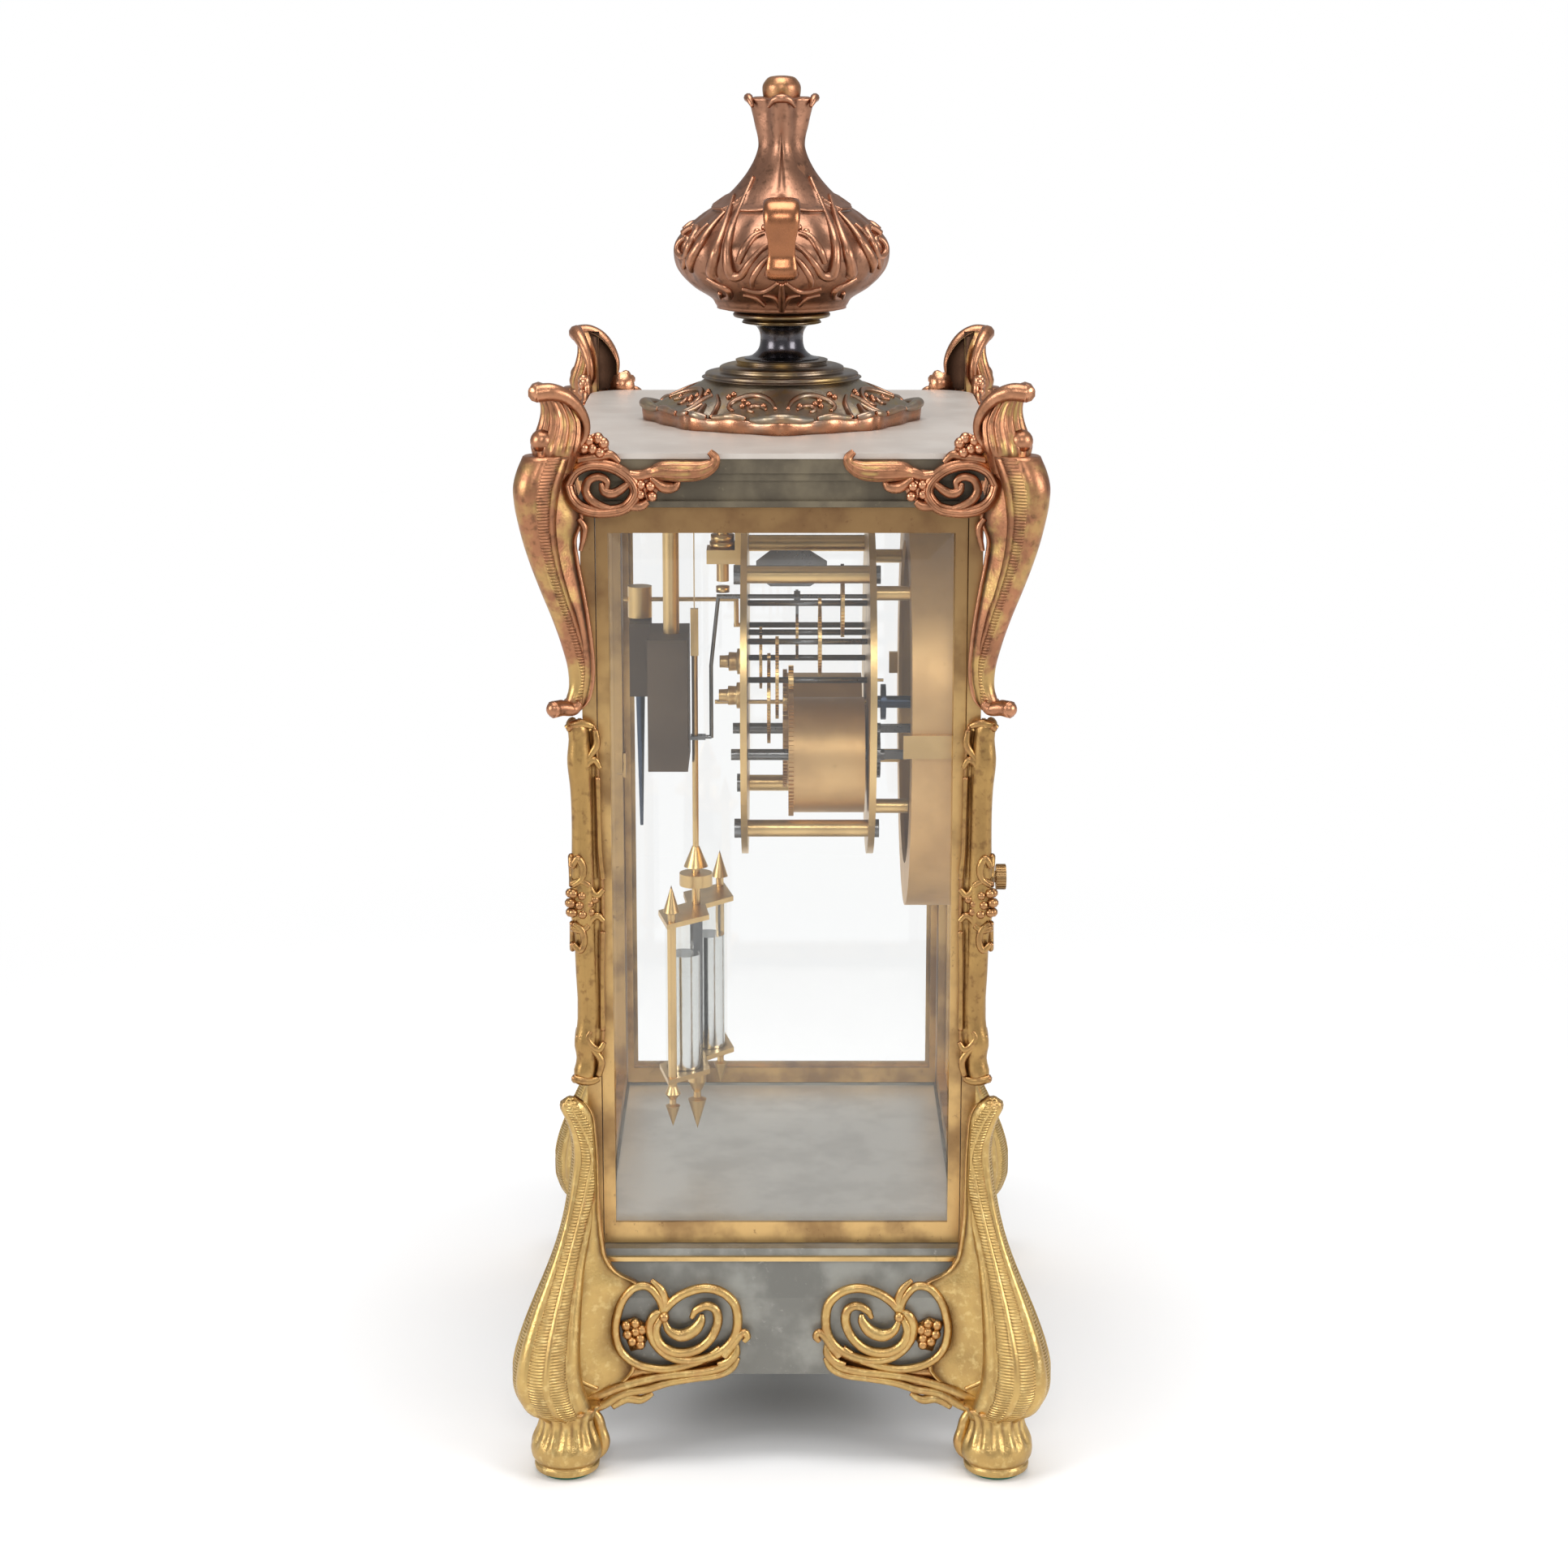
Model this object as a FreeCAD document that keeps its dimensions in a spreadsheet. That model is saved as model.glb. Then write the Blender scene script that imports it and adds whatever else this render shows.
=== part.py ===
"""Mantel clock of the four-glass kind, with a mercury pendulum, cast corner mounts and an urn finial.

Millimetres. +Z is up, the dial faces -Y, and the origin is the middle of the footprint at the level of the table.
Each sub-part is one object of the document and is written to parts/LABEL.step.
"""

import FreeCAD
import Part
import Sketcher
import math
import os

from FreeCAD import Placement, Rotation, Vector

DOC = FreeCAD.newDocument("FourGlassClock")

DIMENSIONS = {
    # base and case
    "base_half_x": 97.0,
    "base_half_y": 69.0,
    "base_low_z": 33.0,
    "base_break_z": 61.0,
    "base_top_z": 72.9,
    "base_top_inset": 3.0,
    "base_wall": 3.0,
    "floor_top_z": 77.0,
    "ledge_half_x": 94.0,
    "ledge_half_y": 68.0,
    "ledge_top_z": 77.9,
    "post_outer_x": 91.0,
    "post_outer_y": 66.0,
    "post_inner_x": 84.5,
    "post_inner_y": 61.3,
    "case_top_z": 333.9,
    "cornice_top_z": 349.9,
    "cornice_wall": 7.0,
    "top_half_x": 93.4,
    "top_half_y": 72.0,
    "top_thick": 1.8,
    "top_corner_radius": 14.0,
    # glazed frames
    "side_frame_outer_x": 89.0,
    "side_frame_inner_x": 84.5,
    "side_frame_half_y": 61.0,
    "side_sight_half_y": 57.0,
    "sight_low_z": 85.6,
    "sight_top_z": 325.0,
    "frame_low_z": 78.1,
    "frame_top_z": 333.4,
    "glass_thick": 3.0,
    "glass_lap": 1.5,
    "door_outer_y": 66.0,
    "door_inner_y": 61.3,
    "door_half_x": 81.0,
    "door_sight_half_x": 75.0,
    "door_top_z": 330.6,
    "hinge_pin_radius": 0.9,
    "running_clearance": 0.05,
    "knob_x": 78.0,
    "knob_z": 205.7,
    # cast corner mounts
    "corner_offset": 28.0,
    "foot_y": 74.2,
    "foot_radius": 12.4,
    "foot_waist_radius": 8.6,
    "felt_thick": 1.2,
    "belly_y": 92.0,
    # finial
    "skirt_radius": 49.0,
    "stem_radius": 8.8,
    "stem_waist_radius": 7.4,
    "urn_radius": 38.0,
    "urn_low_z": 389.6,
    "knob_radius": 6.6,
    "overall_height": 470.0,
    # dial and movement
    "dial_z": 250.0,
    "drum_radius": 73.0,
    "drum_wall": 2.0,
    "drum_rear_y": 44.1,
    "drum_front_y": 60.7,
    "dial_y": 53.0,
    "plate_z": 257.0,
    "plate_radius": 61.3,
    "plate_thick": 2.3,
    "back_plate_y": 11.9,
    "front_plate_y": 30.3,
    "pillar_x": 35.0,
    "pillar_half_z": 45.1,
    "pillar_radius": 3.0,
    "barrel_x": 22.0,
    "barrel_z": 235.5,
    "barrel_radius": 20.4,
    "barrel_low_y": 29.1,
    "barrel_top_y": 4.2,
    "arbor_radius": 0.75,
    "pivot_radius": 0.55,
    # pendulum and gong
    "suspension_z": 320.0,
    "pendulum_y": 31.2,
    "rod_radius": 1.1,
    "bob_top_z": 175.0,
    "bob_low_z": 115.0,
    "bob_half_length": 31.0,
    "bob_half_width": 9.75,
    "bob_turn_deg": 18.0,
    "jar_radius": 6.8,
    "jar_offset": 13.5,
    "gong_post_y": 39.5,
    "gong_block_top_z": 275.2,
    "gong_block_low_z": 227.6,
}


class Size:
    """A number together with the sheet expression that gives it, so that sums of sizes stay bound to the sheet."""

    def __init__(self, value, text):
        self.value = float(value)
        self.text = text

    def __add__(self, other):
        return Size(self.value + number(other), f"({self.text} + {text(other)})")

    def __radd__(self, other):
        return Size(number(other) + self.value, f"({text(other)} + {self.text})")

    def __sub__(self, other):
        return Size(self.value - number(other), f"({self.text} - {text(other)})")

    def __rsub__(self, other):
        return Size(number(other) - self.value, f"({text(other)} - {self.text})")

    def __mul__(self, other):
        return Size(self.value * number(other), f"({self.text} * {text(other)})")

    def __rmul__(self, other):
        return self * other

    def __neg__(self):
        return Size(-self.value, f"(-1 * {self.text})")


def number(size):
    return size.value if isinstance(size, Size) else float(size)


def text(size):
    return size.text if isinstance(size, Size) else f"{float(size):.6f}"


class Sheet:
    """The driving dimensions: a spreadsheet whose cells are read back as Size values by their alias."""

    def __init__(self, dimensions):
        self.sheet = DOC.addObject("Spreadsheet::Sheet", "Dimensions")
        for row, (alias, value) in enumerate(dimensions.items(), start=1):
            self.sheet.set(f"A{row}", alias)
            self.sheet.set(f"B{row}", str(value))
            self.sheet.setAlias(f"B{row}", alias)
            setattr(self, alias, Size(value, f"Dimensions.{alias}"))
        DOC.recompute()


d = Sheet(DIMENSIONS)
NODES = []


# ---- helpers that make bound objects -------------------------------------------------------------------------


def bind(thing, prop, size):
    """Sets a property from a size, bound to the sheet where the size comes from it."""
    if isinstance(size, Size):
        thing.setExpression(prop, size.text)
    else:
        setattr(thing, prop, size)


def place(thing, at, rotation=None):
    """Places an object at three sizes, keeping each bound one bound."""
    thing.Placement = Placement(Vector(*[number(v) for v in at]), rotation or Rotation())
    for axis, size in zip("xyz", at):
        if isinstance(size, Size):
            thing.setExpression(f"Placement.Base.{axis}", size.text)
    return thing


def node(thing, label):
    """Marks an object as a sub-part with its own label."""
    thing.Label = label
    NODES.append(thing)
    return thing


ALONG_X = Rotation(Vector(0, 1, 0), 90)
ALONG_Y = Rotation(Vector(1, 0, 0), -90)
UPRIGHT = Rotation()


def block(name, low, high):
    """A box between two corners."""
    thing = DOC.addObject("Part::Box", name)
    for prop, a, b in zip(("Length", "Width", "Height"), low, high):
        size = b - a
        bind(thing, prop, size)
    return place(thing, low)


def rod(name, radius, length, at, rotation=UPRIGHT):
    """A round bar that starts at a point and runs along +Z, or along +X or +Y when turned."""
    thing = DOC.addObject("Part::Cylinder", name)
    bind(thing, "Radius", radius)
    bind(thing, "Height", length)
    return place(thing, at, rotation)


def cone(name, low_radius, high_radius, length, at, rotation=UPRIGHT):
    thing = DOC.addObject("Part::Cone", name)
    bind(thing, "Radius1", low_radius)
    bind(thing, "Radius2", high_radius)
    bind(thing, "Height", length)
    return place(thing, at, rotation)


def fuse(name, things):
    if len(things) == 1:
        return things[0]
    thing = DOC.addObject("Part::MultiFuse", name)
    thing.Shapes = things
    return thing


def cut(name, base, tools):
    thing = DOC.addObject("Part::Cut", name)
    thing.Base = base
    thing.Tool = fuse(name + "_tools", tools)
    return thing


def group(name, things):
    """Separate solids that share one node."""
    thing = DOC.addObject("Part::Compound", name)
    thing.Links = things
    return thing


def mirrored(thing, normal):
    """The mirror image of an object across a plane through the origin."""
    image = DOC.addObject("Part::Mirroring", thing.Name + "_image")
    image.Source = thing
    image.Normal = normal
    return image


def four_corners(name, thing):
    """An object with its images in the other three corners of the case."""
    across = mirrored(thing, Vector(1, 0, 0))
    behind = [mirrored(each, Vector(0, 1, 0)) for each in (thing, across)]
    return group(name, [thing, across] + behind)


def from_shape(name, shape):
    """An object whose shape is made with Part's own functions."""
    thing = DOC.addObject("Part::Feature", name)
    thing.Shape = shape
    return thing


def origin_plane(body, role):
    return next(feature for feature in body.Origin.OriginFeatures if feature.Role == role)


def outline(body, name, role, loops):
    """A sketch of closed loops of straight lines, with every corner held by two bound distances."""
    sketch = body.newObject("Sketcher::SketchObject", name)
    sketch.AttachmentSupport = [(origin_plane(body, role), "")]
    sketch.MapMode = "FlatFace"
    for corners in loops:
        first = sketch.GeometryCount
        spots = [Vector(number(a), number(b), 0) for a, b in corners]
        lines = [Part.LineSegment(p, q) for p, q in zip(spots, spots[1:] + spots[:1])]
        sketch.addGeometry(lines, False)
        for i, corner in enumerate(corners):
            line = first + i
            sketch.addConstraint(Sketcher.Constraint("Coincident", line, 2, first + (i + 1) % len(corners), 1))
            hold_corner(sketch, line, "DistanceX", corner[0], -2)
            hold_corner(sketch, line, "DistanceY", corner[1], -1)
    return sketch


def hold_corner(sketch, line, kind, size, axis):
    """Fixes one coordinate of a line's start, measured from the sketch's origin."""
    value = number(size)
    if abs(value) < 1e-9:
        sketch.addConstraint(Sketcher.Constraint("PointOnObject", line, 1, axis))
        return
    ends = (-1, 1, line, 1) if value > 0 else (line, 1, -1, 1)
    index = sketch.addConstraint(Sketcher.Constraint(kind, *ends, abs(value)))
    if isinstance(size, Size):
        sketch.setExpression(f"Constraints[{index}]", size.text if value > 0 else (-size).text)


def turned(name, profile):
    """A body turned about Z from a half outline of (radius, height) corners."""
    body = DOC.addObject("PartDesign::Body", name)
    sketch = outline(body, name + "_outline", "XZ_Plane", [profile])
    turn = body.newObject("PartDesign::Revolution", name + "_turn")
    turn.Profile = sketch
    turn.ReferenceAxis = (sketch, ["V_Axis"])
    turn.Angle = 360
    sketch.Visibility = False
    return body


def rectangle(half_a, low_b, high_b):
    return [(-half_a, low_b), (half_a, low_b), (half_a, high_b), (-half_a, high_b)]


# ---- case ----------------------------------------------------------------------------------------------------


def shrinking_block(name, half_x, half_y, low_z, top_z, inset):
    """A block whose four sides lean in by the inset at its top."""
    thing = DOC.addObject("Part::Wedge", name)
    limits = {
        "Xmin": -half_x, "Xmax": half_x, "X2min": -(half_x - inset), "X2max": half_x - inset,
        "Zmin": -half_y, "Zmax": half_y, "Z2min": -(half_y - inset), "Z2max": half_y - inset,
        "Ymin": low_z, "Ymax": top_z,
    }
    for prop, size in limits.items():
        bind(thing, prop, size)
    thing.Placement = Placement(Vector(), Rotation(Vector(1, 0, 0), 90))
    return thing


def make_base():
    wall = d.base_wall
    low = block("plinth_low", (-d.base_half_x, -d.base_half_y, d.base_low_z),
                (d.base_half_x, d.base_half_y, d.base_break_z))
    high = shrinking_block("plinth_high", d.base_half_x, d.base_half_y, d.base_break_z, d.base_top_z,
                           d.base_top_inset)
    hollow = shrinking_block("plinth_hollow", d.base_half_x - wall, d.base_half_y - wall, d.base_low_z - 1,
                             d.base_top_z - wall, d.base_top_inset)
    node(cut("plinth", fuse("plinth_outside", [low, high]), [hollow]), "base_plinth")
    ledge = block("ledge_slab", (-d.ledge_half_x, -d.ledge_half_y, d.base_top_z),
                  (d.ledge_half_x, d.ledge_half_y, d.ledge_top_z))
    well = block("ledge_well", (-d.side_frame_inner_x, -d.door_inner_y + 1, d.base_top_z - 1),
                 (d.side_frame_inner_x, d.door_inner_y - 1, d.ledge_top_z + 1))
    node(cut("ledge", ledge, [well, *hinge_holes("ledge", d.ledge_top_z - 3)]), "base_moulding")
    node(block("floor", (-d.side_frame_inner_x, -d.door_inner_y + 1, d.base_top_z),
               (d.side_frame_inner_x, d.door_inner_y - 1, d.floor_top_z)), "base_floor")


def hinge_places():
    """The pin axes: the front door hangs on the right-hand side and the rear door on the left-hand one."""
    axis_x = d.door_half_x - (d.door_outer_y - d.door_inner_y) * 0.5
    axis_y = (d.door_outer_y + d.door_inner_y) * 0.5
    return (axis_x, -axis_y), (-axis_x, axis_y)


def hinge_holes(name, low_z):
    return [rod(f"{name}_pin_hole_{i}", d.hinge_pin_radius, 3.5, (x, y, low_z))
            for i, (x, y) in enumerate(hinge_places())]


def make_posts():
    post = block("post", (d.post_inner_x + 0.2 - 2.5, d.post_inner_y, d.ledge_top_z),
                 (d.post_outer_x, d.post_outer_y, d.case_top_z))
    node(four_corners("posts", post), "corner_posts")


def frame_body(name, role, half_sight, outer_low, outer_top, outer_half, inner_place, outer_place):
    """A glazed frame: a padded ring whose sight edge laps over the glass, which lies against its inner side."""
    body = DOC.addObject("PartDesign::Body", name)
    ring = outline(body, name + "_ring", role, [
        rectangle(outer_half, outer_low, outer_top),
        rectangle(half_sight, d.sight_low_z, d.sight_top_z),
    ])
    pad = body.newObject("PartDesign::Pad", name + "_pad")
    pad.Profile = ring
    bind(pad, "Length", outer_place - inner_place)
    ring.Visibility = False
    return body


def make_side(sign, word):
    """The fixed glazed side, made for +X and mirrored for -X."""
    inner, outer = d.side_frame_inner_x, d.side_frame_outer_x
    ring = frame_body(f"side_frame_{word}", "YZ_Plane", d.side_sight_half_y, d.frame_low_z, d.frame_top_z,
                      d.side_frame_half_y, inner, outer)
    place(ring, (inner, 0, 0))
    lap = d.glass_lap
    rebate = block(f"side_rebate_{word}", (inner - 1, -d.side_sight_half_y - lap, d.sight_low_z - lap),
                   (inner + d.glass_thick, d.side_sight_half_y + lap, d.sight_top_z + lap))
    glass = block(f"side_pane_{word}", (inner, -d.side_sight_half_y - lap, d.sight_low_z - lap),
                  (inner + d.glass_thick, d.side_sight_half_y + lap, d.sight_top_z + lap))
    frame = cut(f"side_glazed_{word}", ring, [rebate])
    if sign < 0:
        frame = mirrored(frame, Vector(1, 0, 0))
        glass = mirrored(glass, Vector(1, 0, 0))
    node(frame, f"{word}_side_frame")
    node(glass, f"{word}_side_glass")


def make_door(word, half_turn):
    """A glazed door made at the front, with its knob on the left; the rear door is it turned half round."""
    inner, outer = d.door_inner_y, d.door_outer_y
    lap = d.glass_lap
    edge = (outer - inner) * 0.5
    axis_x, axis_y = hinge_places()[0]
    ring = frame_body(f"{word}_door_ring", "XZ_Plane", d.door_sight_half_x, d.frame_low_z + 0.3, d.door_top_z,
                      d.door_half_x - 0.5 * edge, inner, outer)
    place(ring, (-0.5 * edge, -inner, 0))
    stile = rod(f"{word}_door_round_stile", edge, d.door_top_z - d.frame_low_z - 0.3,
                (axis_x, axis_y, d.frame_low_z + 0.3))
    rebate = block(f"{word}_door_rebate", (-d.door_sight_half_x - lap, -inner - d.glass_thick, d.sight_low_z - lap),
                   (d.door_sight_half_x + lap, -inner + 1, d.sight_top_z + lap))
    pin_hole = rod(f"{word}_door_pin_hole", d.hinge_pin_radius + d.running_clearance, 300,
                   (axis_x, axis_y, d.ledge_top_z - 5))
    knob_hole = rod(f"{word}_door_knob_hole", 1.5 + d.running_clearance, 10,
                    (-d.knob_x, -outer - 2, d.knob_z), ALONG_Y)
    frame = cut(f"{word}_door", fuse(f"{word}_door_solid", [ring, stile]), [rebate, pin_hole, knob_hole])
    glass = block(f"{word}_door_pane", (-d.door_sight_half_x - lap, -inner - d.glass_thick, d.sight_low_z - lap),
                  (d.door_sight_half_x + lap, -inner, d.sight_top_z + lap))
    knob = door_knob(word)
    for thing, label in ((frame, "frame"), (glass, "glass"), (knob, "knob")):
        if half_turn:
            thing = group(f"{thing.Name}_behind", [thing])
            thing.Placement = Placement(Vector(), Rotation(Vector(0, 0, 1), 180))
        node(thing, f"{word}_door_{label}")


def door_knob(word):
    """A milled knob on a spindle through the stile, with the tongue that grips the post behind it."""
    outer, inner = d.door_outer_y, d.door_inner_y
    at = lambda y: (-d.knob_x, y, d.knob_z)
    tongue = block(f"{word}_knob_tongue", (-d.knob_x - 2.8, -inner + 0.3, d.knob_z - 1.5),
                   (-d.knob_x + 1.5, -inner + 1.2, d.knob_z + 8))
    return fuse(f"{word}_knob", [
        rod(f"{word}_knob_head", 4.1, 3.4, at(-outer - 10), ALONG_Y),
        rod(f"{word}_knob_neck", 2.0, 5.6, at(-outer - 6.6), ALONG_Y),
        rod(f"{word}_knob_spindle", 1.5, 6.2, at(-outer - 1), ALONG_Y),
        tongue,
    ])


def make_hinge_pins():
    """Four short pins, two for each door, fast in the ledge and in the cornice."""
    pins = []
    for i, (x, y) in enumerate(hinge_places()):
        for j, low_z in enumerate((d.ledge_top_z - 3, d.door_top_z - 7.4)):
            pins.append(rod(f"hinge_pin_{i}_{j}", d.hinge_pin_radius, 11, (x, y, low_z)))
    node(group("hinge_pins", pins), "hinge_pins")


def make_cornice():
    """A stepped cornice ring, with a lintel over each door, and the top plate over it."""
    steps = ((0.0, 0.0, 2.0), (2.0, 2.0, 8.6), (8.6, 0.8, 11.2), (11.2, -0.6, 16.0))
    layers = [block(f"cornice_step_{i}",
                    (-d.post_outer_x - 1 + inset, -d.post_outer_y - 1 + inset, d.case_top_z + low),
                    (d.post_outer_x + 1 - inset, d.post_outer_y + 1 - inset, d.case_top_z + top))
              for i, (low, inset, top) in enumerate(steps)]
    inside = block("cornice_inside",
                   (-d.post_outer_x + d.cornice_wall, -d.post_outer_y + d.cornice_wall, d.case_top_z - 1),
                   (d.post_outer_x - d.cornice_wall, d.post_outer_y - d.cornice_wall, d.cornice_top_z + 1))
    lintel_low = d.door_top_z + 0.4
    half_x = d.post_inner_x - 2.3
    lintels = [block(f"cornice_lintel_{word}", (-half_x, low_y, lintel_low),
                     (half_x, low_y + d.door_outer_y - d.door_inner_y, d.case_top_z))
               for word, low_y in (("front", -d.door_outer_y), ("rear", d.door_inner_y))]
    ring = cut("cornice_ring", fuse("cornice_solid", layers), [inside])
    node(cut("cornice", fuse("cornice_with_lintels", [ring, *lintels]), hinge_holes("cornice", lintel_low - 0.1)),
         "cornice")
    slab = block("top_slab", (-d.top_half_x, -d.top_half_y, d.cornice_top_z),
                 (d.top_half_x, d.top_half_y, d.cornice_top_z + d.top_thick))
    rounded = DOC.addObject("Part::Fillet", "top_rounded")
    rounded.Base = slab
    DOC.recompute()
    upright = [i + 1 for i, edge in enumerate(slab.Shape.Edges) if abs(edge.tangentAt(0).z) > 0.9]
    rounded.Edges = [(i, number(d.top_corner_radius), number(d.top_corner_radius)) for i in upright]
    node(rounded, "top_plate")


# ---- cast mounts ---------------------------------------------------------------------------------------------


def corner_section(z, corner_x, corner_y, lap, thick, proud):
    """The cut through a mount that wraps a corner: two flanges that meet in a ridge standing proud of it."""
    points = [
        (corner_x, corner_y),
        (corner_x - lap, corner_y),
        (corner_x - lap, corner_y + thick),
        (corner_x + proud * 0.55, corner_y + proud),
        (corner_x + proud, corner_y + proud * 0.55),
        (corner_x + thick, corner_y - lap),
        (corner_x, corner_y - lap),
    ]
    return Part.makePolygon([Vector(x, y, z) for x, y in points + points[:1]])


def corner_casting(name, sections):
    return Part.makeLoft([corner_section(*section) for section in sections], True, True)


def flange(points, depth, face_x, face_y):
    """A flat scroll plate given by (distance from the corner, height), one on each of the two faces."""
    side = Part.Face(Part.makePolygon([Vector(face_x, face_y - a, z) for a, z in points + points[:1]]))
    front = Part.Face(Part.makePolygon([Vector(face_x - a, face_y, z) for a, z in points + points[:1]]))
    return [side.extrude(Vector(depth, 0, 0)), front.extrude(Vector(0, depth, 0))]


def make_lower_mount():
    base_x, base_y = d.base_half_x.value + 0.05, d.base_half_y.value + 0.05
    post_x, post_y = d.ledge_half_x.value + 0.05, d.ledge_half_y.value + 0.05
    belly = d.belly_y.value - base_y
    leg = corner_casting("lower_leg", [
        (25.0, base_x, base_y, 14.0, 3.4, belly - 6.0),
        (36.9, base_x, base_y, 18.0, 3.4, belly),
        (48.8, base_x, base_y, 17.0, 3.4, belly - 2.2),
        (60.7, base_x, base_y, 15.5, 3.4, belly - 6.6),
        (73.2, base_x, base_y, 11.0, 3.4, belly - 11.7),
        (87.2, base_x, base_y, 8.2, 3.0, belly - 16.9),
        (101.8, base_x, base_y, 7.6, 2.6, belly - 19.6),
        (116.3, base_x, base_y, 7.6, 2.6, belly - 20.4),
        (125.0, base_x, base_y, 7.0, 2.6, belly - 18.9),
        (134.5, base_x, base_y, 0.5, 2.0, belly - 17.2),
    ])
    scroll = [(0, 25), (12, 22), (22, 26), (41, 29), (52, 31), (58, 46), (55, 59), (48, 65), (24, 67.6), (13, 72), (0, 73)]
    face_x, face_y = base_x, base_y
    plates = flange(scroll, 3.2, face_x, face_y)
    foot_x, foot_y = d.foot_y.value + d.corner_offset.value, d.foot_y.value
    low = d.felt_thick.value
    profile = [Vector(0, 0, low), Vector(9.0, 0, low), Vector(d.foot_radius.value, 0, 5.0),
               Vector(d.foot_radius.value, 0, 12.0), Vector(d.foot_waist_radius.value + 1.6, 0, 17.5),
               Vector(d.foot_waist_radius.value, 0, 22.0), Vector(d.foot_waist_radius.value + 2.0, 0, 28.0),
               Vector(0, 0, 28.0)]
    foot = Part.Face(Part.makePolygon(profile + profile[:1])).revolve(Vector(), Vector(0, 0, 1), 360)
    foot.translate(Vector(foot_x, foot_y, 0))
    casting = leg.fuse([*plates, foot])
    sheet_box = Part.makeBox(2 * base_x, 2 * base_y, 60, Vector(-base_x, -base_y, 20))
    casting = casting.cut(sheet_box).removeSplitter()
    node(four_corners("lower_castings", from_shape("lower_casting", casting)), "lower_mounts")
    pad = rod("felt_pad", d.foot_radius - 3.6, d.felt_thick, (d.foot_y + d.corner_offset, d.foot_y, 0))
    node(four_corners("felt_pads", pad), "felt_pads")


def make_middle_mount():
    x, y = d.post_outer_x.value + 0.05, d.post_outer_y.value + 0.05
    heights = (137.0, 142.0, 150.0, 186.0, 200.0, 214.0, 246.0, 257.0, 263.0)
    prouds = (3.4, 4.6, 3.6, 3.6, 5.4, 3.8, 3.8, 5.2, 3.0)
    casting = corner_casting("middle", [(z, x, y, 6.2, 2.2, proud) for z, proud in zip(heights, prouds)])
    node(four_corners("middle_castings", from_shape("middle_casting", casting)), "middle_mounts")


def make_upper_mount():
    x, y = d.post_outer_x.value + 1.05, d.post_outer_y.value + 1.05
    profile = ((265.5, 3.2, 3.0), (273.4, 6.0, 3.4), (287.0, 6.4, 5.0), (303.0, 5.6, 9.4), (318.0, 4.0, 14.8),
               (329.4, 4.2, 17.4), (342.6, 8.0, 19.0), (351.0, 8.0, 16.8))
    leg = corner_casting("upper_leg", [(z, x, y, lap, 3.0, proud) for z, lap, proud in profile])
    high_x, high_y = d.top_half_x.value - 3.0, d.top_half_y.value - 3.0
    head = corner_casting("upper_head", [
        (352.0, high_x, high_y, 7.0, 3.0, 13.4),
        (362.0, high_x, high_y, 6.0, 3.0, 9.6),
        (371.0, high_x, high_y, 2.0, 3.0, 10.4),
        (375.2, high_x, high_y, 0.5, 3.0, 6.0),
    ])
    branch = [(0, 330), (10, 331), (20, 333), (26, 338), (37, 342), (47, 346.5), (47, 353.5), (40, 350), (27, 348.5),
              (17, 352), (8, 351.5), (0, 351.5)]
    casting = leg.fuse([head, *flange(branch, 3.0, d.top_half_x.value + 0.3, d.top_half_y.value + 0.3)])
    web = Part.makeBox(9, 9, 30, Vector(d.top_half_x.value - 2, d.top_half_y.value - 2, 330))
    casting = casting.fuse(web)
    case_box = Part.makeBox(2 * x, 2 * y, 100, Vector(-x, -y, 250))
    crown_box = Part.makeBox(2 * x + 1.5, 2 * y + 1.5, 5.4, Vector(-x - 0.75, -y - 0.75, 344.6))
    top_half_x, top_half_y = d.top_half_x.value + 0.05, d.top_half_y.value + 0.05
    slab = Part.makeBox(2 * top_half_x, 2 * top_half_y, 2.2, Vector(-top_half_x, -top_half_y, 349.75))
    casting = casting.cut([case_box, crown_box, slab]).removeSplitter()
    solids = sorted(casting.Solids, key=lambda solid: solid.Volume)
    node(four_corners("upper_castings", from_shape("upper_casting", solids[-1])), "upper_mounts")


# ---- finial --------------------------------------------------------------------------------------------------


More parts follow.
